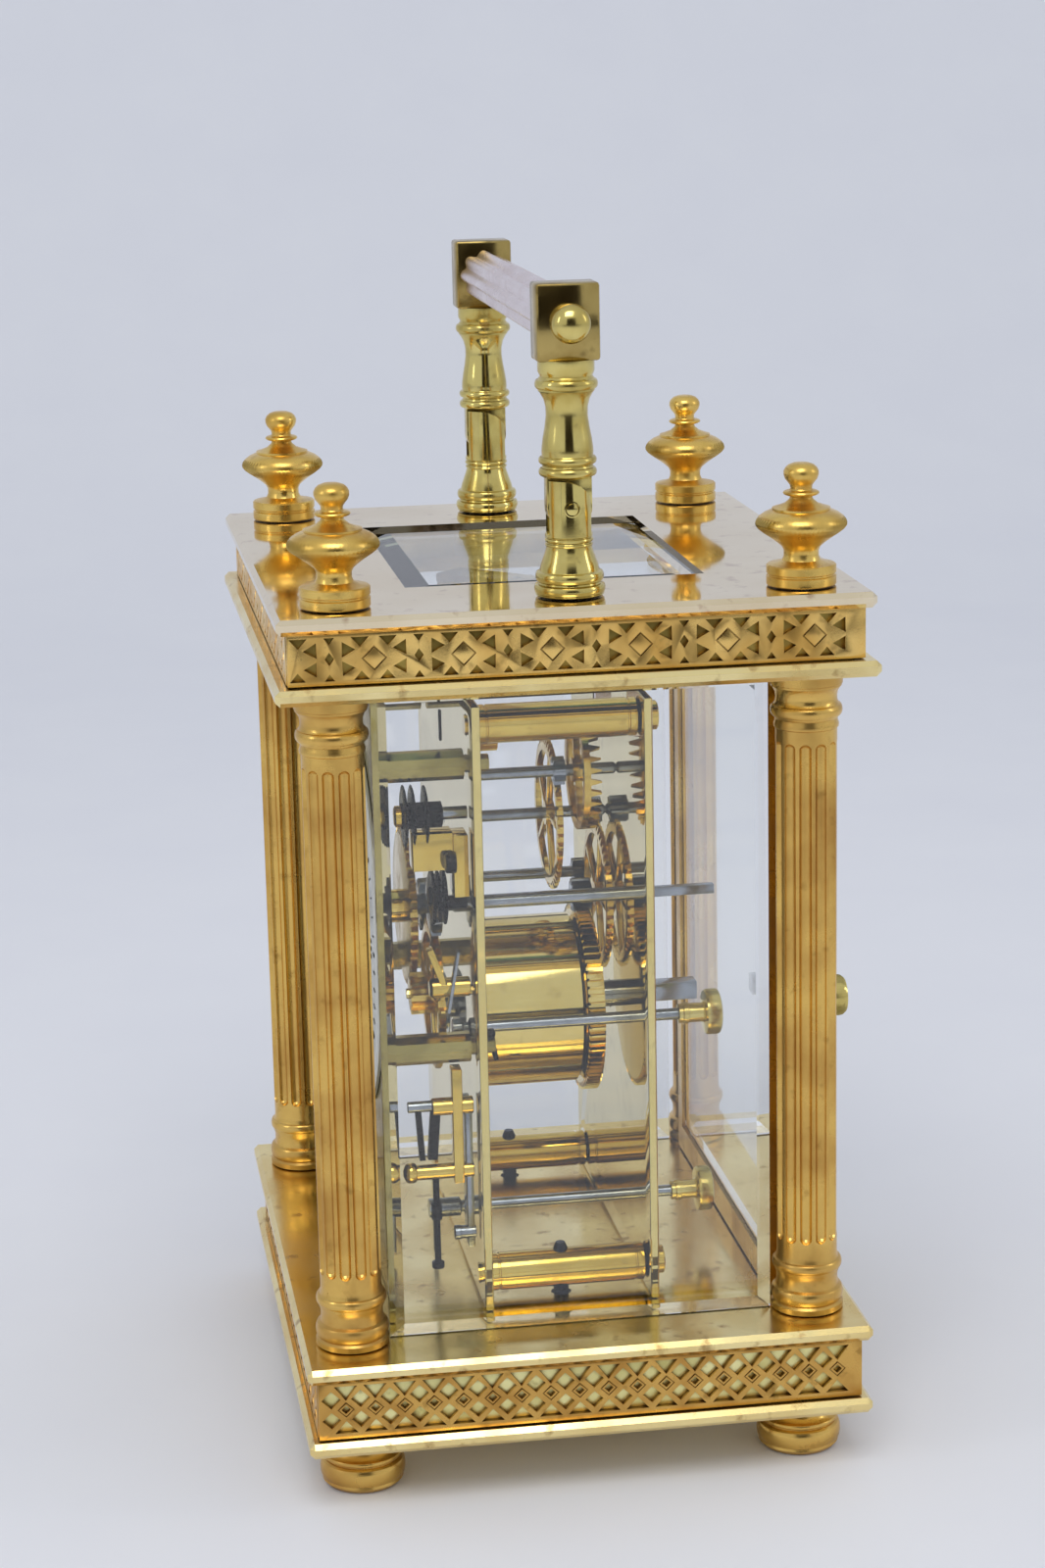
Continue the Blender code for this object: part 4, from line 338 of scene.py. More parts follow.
for number in range(12):
    begin()
    bpy.ops.mesh.primitive_uv_sphere_add(segments=16, ring_count=8, radius=1.0 * MM)
    flute = bpy.context.object
    for vertex in flute.data.vertices:
        vertex.co.z += 37.2 * MM * (1 if vertex.co.z > 0 else -1) if abs(vertex.co.z) > 1e-6 else 0
    bpy.ops.object.mode_set(mode="EDIT")
    bpy.ops.mesh.select_all(action="SELECT")
    bpy.ops.mesh.bisect(plane_co=(0, 0, 0), plane_no=(0, 0, 1))
    bpy.ops.object.mode_set(mode="OBJECT")
    angle = 2 * pi * (number + 0.5) / 12
    flutes.append(settle(flute, (4.72 * cos(angle), 4.72 * sin(angle), 49.3)))
carve(column, joined(flutes, "flutes"))
pick(column)
bpy.ops.object.shade_smooth_by_angle(angle=radians(30))
for name in ("front_left", "back_left", "front_right", "back_right"):
    low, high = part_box(f"column_{name}")
    middle = (low + high) / 2 / MM
    dress(twin(column, f"fluted_column_{name}", (middle.x, middle.y, low.z / MM)), gilt, "case",
          f"column_{name}", slot="gilt_brass")
bpy.data.objects.remove(column)


# ENTABLATURE. A tray like the base's with a light cut in it, the top fret of rosettes round its walls,
# and the top plate over it, polished like a mirror.
polished = metal("mirror_polished_brass", "#f6e6c6", "#ead6b0", "#99694c", (0.03, 0.08), cloud=24, relief=0.0006,
                 stained=0.5)
reskin("entablature_tray", satin)
reskin("top_plate", polished)


def rosettes(length, number):
    """Cutters for the top fret: round each rosette four drops, with leaves and triangles between."""
    half = length / 2
    first = -28.9 if number < 2 else -37.5
    tools = []

    def leaf(corners, x, y, width, height, turn=0.0):
        if abs(x) < half - 1.2:
            tools.append(punch(corners, x, y, width, height, turn))

    for i in range(-1, int(length / 12.5) + 1):
        x = first + i * 12.5
        for side in (-1, 1):
            leaf(3, x + side * 1.95, 2.6, 2.9, 1.9, pi)
            leaf(3, x + side * 1.8, -2.55, 2.5, 1.7)
            leaf(3, x + side * 3.85, 1.35, 2.5, 2.5, -side * 0.5)
            leaf(3, x + side * 3.85, -1.3, 2.4, 2.4, pi + side * 0.5)
        leaf(3, x + 6.25, 2.75, 1.7, 1.3, pi)
        leaf(4, x + 6.25, 0.1, 1.3, 1.9)
        leaf(3, x + 6.25, -2.7, 1.6, 1.3)
        if abs(x) < half - 2.5:
            tools.append(ringed(x, 0, 3.0, 3.0, 0.3, 0.3))
    return tools


# The rosettes' hollows are darkened by painted shade.
rosette_brass = metal("rosette_brass", "#f2cc7a", "#dcae5c", "#5c3c18", (0.24, 0.36), cloud=9, relief=0.010,
                      painted_shade=0.8, stained=0.45)
# The top fret's backing is painted shade: dark, so that the fret's holes look shaded.
shaded_backing = metal("painted_shade_backing", "#a8924c", "#86703a", "#4e3a1a", (0.34, 0.48), cloud=7, relief=0.004)
top_fret = fret("rosette_fret", "top_fret", rosettes, 7.2, shaded_backing)
dress(top_fret, rosette_brass, "case", "top_fret", slot="fret_brass")


# FINIALS. Turned urns on collars, gilt, each with a milled edge round its widest part and a small ball.
finial_rings = [(4.9, 0), (5.0, 0.15), (5.0, 1.25), (4.8, 1.4), (4.8, 1.6), (5.0, 1.75), (5.0, 2.75),
                (4.8, 2.95), (3.6, 3.15), (2.75, 3.5), (2.5, 4.1), (2.5, 4.9), (2.8, 5.5), (3.5, 6.1),
                (4.6, 6.9), (5.5, 7.5), (6.15, 8.0), (6.5, 8.45), (6.55, 8.8), (6.4, 9.25), (6.0, 9.75),
                (5.3, 10.25), (4.5, 10.6), (4.15, 10.7), (4.15, 11.0), (3.6, 11.15), (2.4, 11.6),
                (1.7, 12.2), (1.6, 12.5), *bead(1.7, 12.7, 13.5, 0.9, 6), (1.55, 13.7), (1.6, 14.2),
                (1.9, 14.6), (2.3, 15.1), (2.5, 15.7), (2.5, 16.2), (2.25, 16.7), (1.8, 17.1), (1.1, 17.35),
                (0.4, 17.4)]
# Its hollows are darkened by painted shade.
bright_gilt = metal("bright_gilt_brass", "#f0cc72", "#dab25a", "#8f642c", (0.22, 0.36), cloud=6, relief=0.012,
                    painted_shade=0.5, stained=0.5)
finial = turned("finial", finial_rings, facets=120)
pick(finial)
for vertex in finial.data.vertices:
    far = hypot(vertex.co.x, vertex.co.y) / MM
    turn = round(60 * (acos(max(-1, min(1, vertex.co.x / MM / far))) if far else 0) / pi)
    if 5.4 < far and 7.4 < vertex.co.z / MM < 9.5 and turn % 2:
        vertex.co.x *= 0.95
        vertex.co.y *= 0.95
for name in ("front_left", "back_left", "front_right", "back_right"):
    low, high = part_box(f"finial_{name}")
    middle = (low + high) / 2 / MM
    dress(twin(finial, f"urn_finial_{name}", (middle.x, middle.y, low.z / MM)), bright_gilt, "case",
          f"finial_{name}", slot="gilt_brass")
bpy.data.objects.remove(finial)


# HANDLE POSTS. Turned from hard yellow brass and polished, slotted at the top for the hinge, with a
# screw through the cheeks.
# Its hollows are darkened by painted shade.
bright = metal("bright_brass", "#dfcd80", "#c6b062", "#6a5226", (0.13, 0.26), cloud=6, relief=0.003, painted_shade=0.5,
               stained=0.45, lines=(0.3, 0.3, 4.0))
post_rings = [(4.7, 0), (4.9, 0.2), *bead(4.75, 0.35, 1.6, 0.3, 6), (4.5, 1.7), (4.45, 1.9),
              *bead(4.5, 2.0, 3.4, 0.35, 6), (4.25, 3.5), (4.1, 4.2), (3.75, 5.2), (3.4, 6.2), (3.2, 6.9),
              *bead(3.2, 7.0, 7.4, 0.2, 4), (3.15, 7.5), *bead(3.2, 7.6, 8.2, 0.25, 4), (3.2, 8.3), (3.35, 8.4),
              (3.35, 16.4)]
post = turned("post", post_rings)
carve(post, block("slot", (3.0, 20, 20), (0, 0, 8.8 + 10)))
begin()
bpy.ops.mesh.primitive_cylinder_add(vertices=96, radius=5.2 * MM, depth=30 * MM)
keep = settle(bpy.context.object, (0, -1.5, 11.2), (0, pi / 2, 0))
carve(post, carve(block("corner", (20, 10, 8), (0, 3.5, 15.2)), keep))
eased(post, 0.12, angle=50)
hinge_screw = turned("screw", [(1.15, 2.6), (1.15, 3.42), (1.0, 3.44), (0.98, 3.2), (0.84, 3.2), (0.8, 3.44),
                               (0.5, 3.52), (0.05, 3.55)], facets=32)
settle(hinge_screw, (0, 0, 12.5), (0, pi / 2, 0))
for side, across in (("left", -40.4), ("right", 40.4)):
    low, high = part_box(f"handle_post_{side}")
    made = twin(post, f"turned_post_{side}", (across, 0, low.z / MM))
    dress(made, bright, "case", f"handle_post_{side}", slot="polished_brass")
    screw = twin(hinge_screw, f"hinge_screw_{side}", (0, 0, 0), 0 if across > 0 else pi)
    dress(settle(screw, (across, 0, low.z / MM)), bright, "case", slot="polished_brass")
bpy.data.objects.remove(post)
bpy.data.objects.remove(hinge_screw)


# HANDLE. Two turned uprights with flat-topped blocks, and between them a fluted grip. The bar's ends are
# riveted over as domed buttons. Only the grip is silvered, and has kept a rosy grey cast.
# Its hollows are darkened by painted shade.
silvered = metal("silvered_brass", "#efe3e4", "#dfcfce", "#8c6c60", (0.22, 0.34), cloud=16, relief=0.003,
                 painted_shade=0.6, stained=0.15, lines=(0.3, 3.0, 3.0))
upright_rings = [(3.4, 16.7), *bead(3.65, 16.9, 18.1, 0.45, 6), (3.65, 18.2), (3.55, 18.4),
                 *bead(3.65, 18.6, 19.7, 0.45, 6), (3.6, 19.8), (3.65, 20.3), (3.62, 20.9), (3.45, 22.2),
                 (3.15, 23.8), (2.95, 25.4), (2.98, 26.6), (3.25, 27.7), (3.75, 28.6), (4.0, 28.9),
                 *bead(4.0, 29.1, 30.5, 0.45, 6), (3.85, 30.7), (3.7, 30.9), (3.85, 31.3), (4.0, 31.6),
                 (4.0, 33.2)]
upright = turned("upright", upright_rings)
# The heads' brass is darker and browner than the uprights'.
head_brass = metal("darker_head_brass", "#b7a062", "#9b8248", "#4c3a1e", (0.12, 0.24), cloud=5, relief=0.002, stained=0.5)
head = eased(block("head", (5.6, 9.0, 10.8), (0, 0, 33.1 + 5.4)), 0.45)
tongue = eased(block("tongue", (2.7, 6.4, 4.6), (0, 0, 14.6)), 0.1)
knuckle = settle(turned("knuckle", [(3.1, -1.35), (3.2, -1.25), (3.2, 1.25), (3.1, 1.35)]), (0, 0, 12.5),
                 (0, pi / 2, 0))
upright = joined([upright, tongue, knuckle], "upright")
for side, across in (("left", -40.4), ("right", 40.4)):
    low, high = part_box(f"handle_post_{side}")
    made = twin(upright, f"turned_upright_{side}", (across, 0, low.z / MM))
    dress(made, bright, "handle", f"handle_upright_{side}", slot="polished_brass")
    dress(twin(head, f"squared_head_{side}", (across, 0, low.z / MM)), head_brass, "handle", slot="polished_brass")
bpy.data.objects.remove(upright)
bpy.data.objects.remove(head)

grip_height = sum(corner.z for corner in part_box("handle_bar")) / 2 / MM
begin()
bpy.ops.mesh.primitive_cylinder_add(vertices=128, radius=3.9 * MM, depth=75.1 * MM)
grip = bpy.context.object
for vertex in grip.data.vertices:
    angle = acos(max(-1, min(1, vertex.co.x / (3.9 * MM))))
    hollow = 1 - 0.2 * (1 - abs(cos(4 * angle)) ** 1.5)
    vertex.co.x *= hollow
    vertex.co.y *= hollow
bpy.ops.object.shade_smooth_by_angle(angle=radians(35))
settle(grip, (0, 0, grip_height), (0, pi / 2, 0))
dress(grip, silvered, "handle", "handle_bar", slot="silvered_brass")
button_rings = [(2.2, 0), (2.2, 0.6), (2.5, 0.8), (2.75, 1.4), (2.8, 2.0), (2.7, 2.7), (2.35, 3.4), (1.75, 3.9),
                (1.0, 4.2), (0.3, 4.3)]
for side, turn in (("right", pi / 2), ("left", -pi / 2)):
    button = settle(turned(f"bar_button_{side}", button_rings, facets=48), turn=(0, turn, 0))
    settle(button, (43.2 * (1 if turn > 0 else -1), 0, grip_height))
    dress(button, bright, "handle", slot="polished_brass")


# GLASSES. Plate glass with wide polished bevels, a little green in its depth, held in grooves. Seen from
# the side its edges look teal.
glass = bpy.data.materials.new("bevelled_glass")
glass.use_nodes = True
tree = glass.node_tree
pane = tree.nodes["Principled BSDF"]
pane.inputs["Base Color"].default_value = linear("#ffffff")
pane.inputs["Transmission Weight"].default_value = 1.0
pane.inputs["IOR"].default_value = 1.52
place = add(tree, "ShaderNodeTexCoord").outputs["Object"]
smear = add(tree, "ShaderNodeTexNoise", {"Vector": place, "Scale": 1 / (14 * MM), "Detail": 6.0})
haze = add(tree, "ShaderNodeMapRange", {0: smear.outputs[0], 1: 0.55, 2: 0.8, 3: 0.0, 4: 0.004})
tree.links.new(haze.outputs[0], pane.inputs["Roughness"])
depth = add(tree, "ShaderNodeVolumeAbsorption", {"Color": linear("#86c9b8"), "Density": 11.0})
clear = add(tree, "ShaderNodeBsdfTransparent", {"Color": linear("#f4faf8")})
path = add(tree, "ShaderNodeLightPath")
through = add(tree, "ShaderNodeMixShader", {0: path.outputs["Is Shadow Ray"], 1: pane.outputs[0],
                                            2: clear.outputs[0]})
output = next(node for node in tree.nodes if node.type == "OUTPUT_MATERIAL")
tree.links.new(through.outputs[0], output.inputs["Surface"])
tree.links.new(depth.outputs[0], output.inputs["Volume"])
for name in ("right_glass", "left_glass", "front_glass", "door_glass"):
    reskin(name, glass)

def pane_of(name, size, thick, bevel, drop):
    """A pane lying on the XY plane, its upper face bevelled all round."""
    pane = block(name, (*size, thick), (0, 0, thick / 2))
    bpy.context.tool_settings.mesh_select_mode = (False, False, True)
    for face in pane.data.polygons:
        face.select = face.normal.z > 0.5
    bpy.ops.object.mode_set(mode="EDIT")
    bpy.ops.mesh.inset(thickness=bevel * MM)
    bpy.ops.object.mode_set(mode="OBJECT")
    for vertex in pane.data.vertices:
        if vertex.co.z > 0.9 * thick * MM and abs(vertex.co.x) > (size[0] / 2 - 0.01) * MM:
            vertex.co.z -= drop * MM
    return pane


def painted_bevel_glass(name, colour, stripe, every):
    """Glass with painted reflection: green laid into its colour, in stripes so many millimetres apart that stand in
    for a bevel's prism colours.
    """
    look = glass.copy()
    look.name = name
    tree = look.node_tree
    place = next(node for node in tree.nodes if node.type == "TEX_COORD").outputs["Object"]
    painted_prism_stripes = add(tree, "ShaderNodeTexWave", {"Vector": place, "Scale": 0.3 / (every * MM), "Distortion": 3.0,
                                            "Detail": 2.0}, bands_direction="X")
    tint = add(tree, "ShaderNodeMix", {0: painted_prism_stripes.outputs[1], 6: linear(colour), 7: linear(stripe)},
               data_type="RGBA")
    tree.links.new(tint.outputs[2], tree.nodes["Principled BSDF"].inputs["Base Color"])
    return look


# The top glass's near and left bevels get painted reflection: green and striped colour, chosen by the way each
# bevel faces.
low, high = (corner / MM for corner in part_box("top_glass"))
top_pane = pane_of("top_pane", (high.x - low.x, high.y - low.y), high.z - low.z, 5.5, 1.1)
settle(top_pane, ((high.x + low.x) / 2, (high.y + low.y) / 2, low.z))
dress(top_pane, glass, "case", "top_glass", slot="glass")
top_pane.data.materials.append(painted_bevel_glass("painted_green_bevel", "#3f8a78", "#1f4a44", 5.0))
top_pane.data.materials.append(painted_bevel_glass("painted_striped_bevel", "#e8fbff", "#5f9f98", 1.6))
# Painted reflection by facing: bevels facing the near side take the green, those facing left the stripes.
for face in top_pane.data.polygons:
    if 0.2 < face.normal.z < 0.99:
        face.material_index = 1 if face.normal.x > 0.1 else 2 if face.normal.y < -0.1 else 0


# DOOR. A slim gilt frame on two pivots, with a small knob whose edge is milled for the fingers.
reskin("door_frame", gilt)
knob_rings = [(2.1, 0), (2.2, 0.3), (2.1, 0.9), (1.5, 1.3), (1.4, 3.0), (1.4, 4.9), (2.2, 5.3), (2.9, 5.6),
              (3.05, 6.0), (3.1, 6.3), (3.1, 8.6), (3.0, 9.1), (2.6, 9.6), (1.6, 9.8)]
door_knob = turned("door_knob_turned", knob_rings, facets=96)
for vertex in door_knob.data.vertices:
    far = hypot(vertex.co.x, vertex.co.y) / MM
    turn = round(48 * acos(max(-1, min(1, vertex.co.x / MM / far))) / pi)
    if far > 2.95 and turn % 2:
        vertex.co.x *= 0.92
        vertex.co.y *= 0.92
low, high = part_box("door_knob")
middle = (low + high) / 2 / MM
settle(door_knob, (middle.x, high.y / MM - 9.8, middle.z), (-pi / 2, 0, 0))
dress(door_knob, bright, "door", "door_knob", slot="gilt_brass")


# MOVEMENT FRAME. Two brass plates, polished like mirrors, held apart by four turned pillars. Screws come
# up through the base into the lower two.
plate_brass = metal("movement_plate_brass", "#e4d189", "#d9c376", "#8c6d35", (0.02, 0.06), cloud=30,
                    relief=0.0003, stained=0.25)
turned_brass = metal("lacquered_turned_brass", "#e3c668", "#d2af4e", "#80591f", (0.06, 0.14), cloud=12,
                     relief=0.0012, stained=0.25, lines=(0.5, 5.0, 0.5))
blued = metal("blued_steel", "#1b2236", "#11141f", "#2c2a2c", (0.20, 0.34), cloud=2, relief=0.002)
steel = metal("polished_steel", "#a3a8ae", "#8b9096", "#55504c", (0.14, 0.26), cloud=5, relief=0.002,
              stained=0.4, lines=(0.5, 5.0, 0.5))
for name, thin in (("front_plate", (-14.0, 0.4)), ("back_plate", (13.5, -0.4))):
    plate = twin(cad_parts[name], f"thin_{name}")
    pick(plate)
    for vertex in plate.data.vertices:
        if abs(vertex.co.y / MM - thin[0]) < 0.15:
            vertex.co.y += thin[1] * MM
    bpy.context.tool_settings.mesh_select_mode = (False, True, False)
    bpy.ops.object.mode_set(mode="EDIT")
    bpy.ops.mesh.select_all(action="SELECT")
    bpy.ops.mesh.remove_doubles(threshold=0.001 * MM)
    bpy.ops.mesh.dissolve_limited(angle_limit=radians(1))
    bpy.ops.mesh.select_all(action="DESELECT")
    bpy.ops.object.mode_set(mode="OBJECT")
    ends = [vertex.co / MM for vertex in plate.data.vertices]
    for edge in plate.data.edges:
        a, b = (ends[i] for i in edge.vertices)
        rim = min(abs(a.x), abs(b.x)) > 31.9 or max(a.z, b.z) < 23.1 or min(a.z, b.z) > 115.9
        edge.select = rim and abs(a.y - b.y) < 0.01
    bpy.ops.object.mode_set(mode="EDIT")
    bpy.ops.mesh.bevel(offset=0.22 * MM, segments=2)
    bpy.ops.object.mode_set(mode="OBJECT")
    bpy.ops.object.shade_smooth_by_angle(angle=radians(25))
    dress(plate, plate_brass, "case", name, slot="polished_brass")


def stand(piece, across, height):
    """Lays a piece that was turned along Z on its axis in the movement, its top towards the dial."""
    return settle(piece, (across, 0, height), (pi / 2, 0, 0))


for level, height in (("lower", 26.8), ("upper", 112.2)):
    for side, across in (("left", -26.0), ("right", 26.0)):
        pillar = turned(f"turned_pillar_{level}_{side}", [
            (2.0, -14.9), (2.2, -14.7), (2.2, -13.3), (1.5, -13.25), (1.5, -11.85), (2.6, -11.8),
            (2.9, -11.6), (2.9, -10.6), (2.75, -10.5), (2.75, -10.3), (2.9, -10.2), (2.9, 10.5), (2.75, 10.6),
            (2.75, 10.8), (2.9, 10.9), (2.9, 11.9), (2.6, 12.1), (1.5, 12.15), (1.5, 13.8)], facets=48)
        stand(pillar, across, height)
        dress(pillar, turned_brass, "case", f"pillar_{level}_{side}", slot="polished_brass")
for side, across in (("left", -26.0), ("right", 26.0)):
    screw = turned(f"base_screw_{side}", [
        (2.2, 18.8), (2.4, 19.0), (2.4, 20.2), (1.2, 20.35), *[(1.2 - 0.12 * (i % 2), 20.5 + 0.25 * i)
                                                            for i in range(36)], (1.1, 29.9), (0.7, 30.8)],
                   facets=32)
    settle(screw, (across, -1.0, 0))
    dress(screw, blued, "case", f"movement_screw_{side}", slot="blued_steel")


# BARREL. The mainspring's drum, turned and polished, with a snapped-in cap and a toothed rim, on the
# steel winding arbor that ends in a square for the key.
def toothed(name, teeth, root, tip, low, high, first=0.0, thin=0.30):
    """A toothed disc along Z. Every second face of its rim is drawn out and narrowed into a tooth."""
    begin()
    bpy.ops.mesh.primitive_cylinder_add(vertices=2 * teeth, radius=root * MM, depth=(high - low) * MM,
                                        location=(0, 0, (high + low) / 2 * MM), rotation=(0, 0, first))
    piece = bpy.context.object
    piece.name = name
    bpy.ops.object.transform_apply(location=True, rotation=False, scale=False)
    for face in piece.data.polygons:
        angle = Vector((face.center.x, face.center.y)).angle_signed(Vector((1, 0)), 0)
        face.select = abs(face.normal.z) < 0.5 and round(angle / (pi / teeth) - 0.5) % 2 == 0
    bpy.context.tool_settings.mesh_select_mode = (False, False, True)
    bpy.ops.object.mode_set(mode="EDIT")
    bpy.ops.mesh.inset(use_individual=True, thickness=pi * root / teeth * thin * MM, depth=(tip - root) * MM)
    bpy.ops.object.mode_set(mode="OBJECT")
    bpy.ops.object.transform_apply(location=False, rotation=True, scale=False)
    bpy.ops.object.shade_smooth_by_angle(angle=radians(20))
    return piece


def geared(wheel_teeth, wheel_phase, other_teeth, direction):
    """The turn that puts a gap of the other gear on a tooth of this one."""
    return direction + pi - (pi - wheel_teeth * (direction - wheel_phase)) / other_teeth


drum = turned("drum", [(2.3, -6.2), (10.5, -6.2), (10.7, -6.0), (10.7, -5.8), (12.8, -5.8), (13.1, -5.5),
                       (13.3, -5.4), (13.3, 10.9), (13.5, 11.0), (13.5, 11.4), (13.3, 11.6), (12.0, 11.6),
                       (11.8, 11.4), (3.4, 11.4), (3.2, 11.6), (2.3, 11.6)], facets=128)
rim = toothed("rim", 72, 13.75, 14.85, -8.8, -6.2)
barrel = stand(joined([drum, rim], "going_barrel"), 0, 61.7)
barrel_brass = metal("barrel_brass", "#ead383", "#dec066", "#8a6424", (0.05, 0.11), cloud=16, relief=0.0010,
                     stained=0.2, lines=(0.5, 6.0, 0.5))
dress(barrel, barrel_brass, "barrel", "barrel", slot="polished_brass")
arbor = turned("arbor", [(1.9, -14.0), (2.1, -13.9), (2.1, 15.2), (1.9, 15.4)], facets=48)
ratchet = toothed("ratchet", 18, 4.9, 5.7, 14.2, 15.3, thin=0.45)
key_square = eased(block("square", (2.9, 2.9, 12.2), (0, 0, -19.6)), 0.12)
winder = stand(joined([arbor, ratchet, key_square], "winding_square_arbor"), 0, 61.7)
dress(winder, steel, "winding", "winding_arbor", slot="steel")


# TRAIN. Crossed-out brass wheels and steel pinions on steel arbors: centre, third and contrate, and a
# plain pinion that the centre wheel drives. The wheels are cut, crossed and polished.
wheel_brass = metal("wheel_brass", "#e2c469", "#cfaa4a", "#7c5520", (0.12, 0.24), cloud=5, relief=0.0015,
                    stained=0.35)


def wheel(name, teeth, pitch_radius, low, high, first, arms=5, rim=1.2, hub=1.9):
    """A crossed-out wheel: a toothed rim, its arms and its hub."""
    module = 2 * pitch_radius / teeth
    root = pitch_radius - 1.1 * module
    ring = toothed(name, teeth, root, pitch_radius + 0.85 * module, low, high, first)
    begin()
    bpy.ops.mesh.primitive_cylinder_add(vertices=96, radius=(root - rim) * MM, depth=20 * MM,
                                        location=(0, 0, (low + high) / 2 * MM))
    carve(ring, bpy.context.object)
    parts = [ring, turned("hub", [(hub, low - 0.2), (hub, high + 0.2)], facets=32)]
    for number in range(arms):
        angle = 2 * pi * number / arms
        arm = eased(block("arm", (root - rim - hub + 0.9, 0.9, high - low), ((root - rim + hub) / 2, 0, 0)), 0.1)
        parts.append(settle(settle(arm, (0, 0, (low + high) / 2)), turn=(0, 0, angle)))
    return joined(parts, name)


def rod(name, radius, low=-11.8, high=12.1, pivot=0.5):
    """A steel arbor between the plates, with a fine pivot at each end."""
    return turned(name, [(pivot, low - 1.5), (pivot, low), (radius * 0.8, low + 0.05), (radius, low + 0.3),
                         (radius, high - 0.3), (radius * 0.8, high - 0.05), (pivot, high), (pivot, high + 1.4)],
                  facets=32)


def pinion(name, leaves, pitch_radius, low, high, first):
    module = 2 * pitch_radius / leaves
    return toothed(name, leaves, pitch_radius - 1.25 * module, pitch_radius + 0.6 * module, low, high, first,
                   thin=0.25)


third = (-1.837, 91.272)
contrate = (8.195, 100.305)
idler = (-13.198, 78.430)
centre_wheel = stand(wheel("centre_wheel", 48, 11.314, -10.8, -9.8, 0), 0, 78.2)
dress(centre_wheel, wheel_brass, "centre", slot="polished_brass")
centre_rod = rod("centre", 0.9, -11.8, 29.1, 0.5)
centre_steel = stand(joined([centre_rod, pinion("leaves", 12, 2.357, -9.1, -5.9, geared(72, 0, 12, pi / 2))],
                            "centre_arbor_steel"), 0, 78.2)
dress(centre_steel, steel, "centre", "centre_arbor", slot="steel")
third_phase = geared(48, 0, 8, radians(98))
third_wheel = stand(wheel("third_wheel", 48, 11.571, -3.5, -2.5, 0), *third)
dress(third_wheel, wheel_brass, "third", slot="polished_brass")
third_steel = stand(joined([rod("third", 0.9), pinion("leaves", 8, 1.886, -11.3, -8.3, third_phase)],
                           "third_arbor_steel"), *third)
dress(third_steel, steel, "third", "third_arbor", slot="steel")
contrate_phase = geared(48, 0, 8, radians(42))
crown = turned("crown", [(9.2, -6.5), (9.2, -5.5)], facets=96)
begin()
bpy.ops.mesh.primitive_cylinder_add(vertices=96, radius=7.6 * MM, depth=20 * MM)
carve(crown, bpy.context.object)
crown_parts = [crown, turned("hub", [(1.9, -6.7), (1.9, -5.0)], facets=32)]
for number in range(32):
    tooth = block("tooth", (0.9, 1.0, 1.7), (8.7, 0, -7.3))
    for vertex in tooth.data.vertices:
        if vertex.co.z < -7.3 * MM:
            vertex.co.y *= 0.2
    crown_parts.append(settle(tooth, turn=(0, 0, 2 * pi * number / 32)))
for number in range(4):
    arm = block("arm", (6.6, 0.9, 1.0), (4.6, 0, -6.0))
    crown_parts.append(settle(arm, turn=(0, 0, pi / 2 * number + 0.3)))
crown_wheel = stand(joined(crown_parts, "contrate_wheel"), *contrate)
dress(crown_wheel, wheel_brass, "contrate", slot="polished_brass")
contrate_steel = stand(joined([rod("contrate", 0.9), pinion("leaves", 8, 1.929, -4.0, -2.0, contrate_phase)],
                              "contrate_arbor_steel"), *contrate)
dress(contrate_steel, steel, "contrate", "contrate_arbor", slot="steel")
idler_steel = stand(joined([rod("idler", 0.9), pinion("leaves", 8, 1.886, -11.3, -8.3,
                                                      geared(48, 0, 8, radians(179)))], "idler_steel"), *idler)
dress(idler_steel, steel, "idler", "idler_arbor", slot="steel")


# MOTION WORK. Between the plate and the dial: the cannon pinion, the minute wheel on its stud, and the
# hour wheel on its pipe, which carry the hands.
minute = (9.742, 66.794)
minute_phase = geared(12, 0, 36, radians(-49.5))
cannon = stand(joined([turned("pipe", [(1.55, 14.3), (1.6, 14.5), (1.6, 29.6), (1.5, 29.9)], facets=32),
                       pinion("leaves", 12, 3.75, 16.5, 18.3, 0)], "cannon_pinion_steel"), 0, 78.2)
dress(cannon, steel, "cannon", "cannon_pinion", slot="steel")
minute_rim = wheel("minute_rim", 36, 11.25, 16.8, 18.0, minute_phase)
minute_work = stand(joined([minute_rim, pinion("leaves", 12, 3.0, 17.4, 21.1, 0)], "minute_wheel_cut"), *minute)
dress(minute_work, wheel_brass, "minute_work", "minute_wheel", slot="polished_brass")
hour_phase = geared(12, 0, 48, radians(-49.5) + pi)
hour_wheel = stand(joined([toothed("hour_rim", 48, 11.4, 12.42, 19.6, 20.8, hour_phase),
                           turned("pipe", [(2.6, 20.8), (2.6, 28.6), (2.5, 28.8)], facets=40)],
                          "hour_wheel_cut"), 0, 78.2)
dress(hour_wheel, wheel_brass, "hour", "hour_wheel", slot="polished_brass")


# ALARM WORK. Between the plate and the dial on the near side: black pinions and discs, brass cocks and
# levers, and steel springs, screwed to the front plate.
black = metal("blacked_steel", "#24211f", "#171514", "#3a2c20", (0.22, 0.38), cloud=2, relief=0.003)


def lain(name, look, across, height, *rings):
    """A turned piece on an axis from plate to dial, from its (radius, distance forward) rings."""
    return dress(stand(turned(name, rings, facets=32), across, height), look, "case")


def filed(name, look, size, at, tilt=0.0):
    """A filed bar or cock, turned a little about the line of sight."""
    piece = eased(block(name, size), 0.12)
    return dress(settle(piece, at, (tilt, 0, 0)), look, "case")


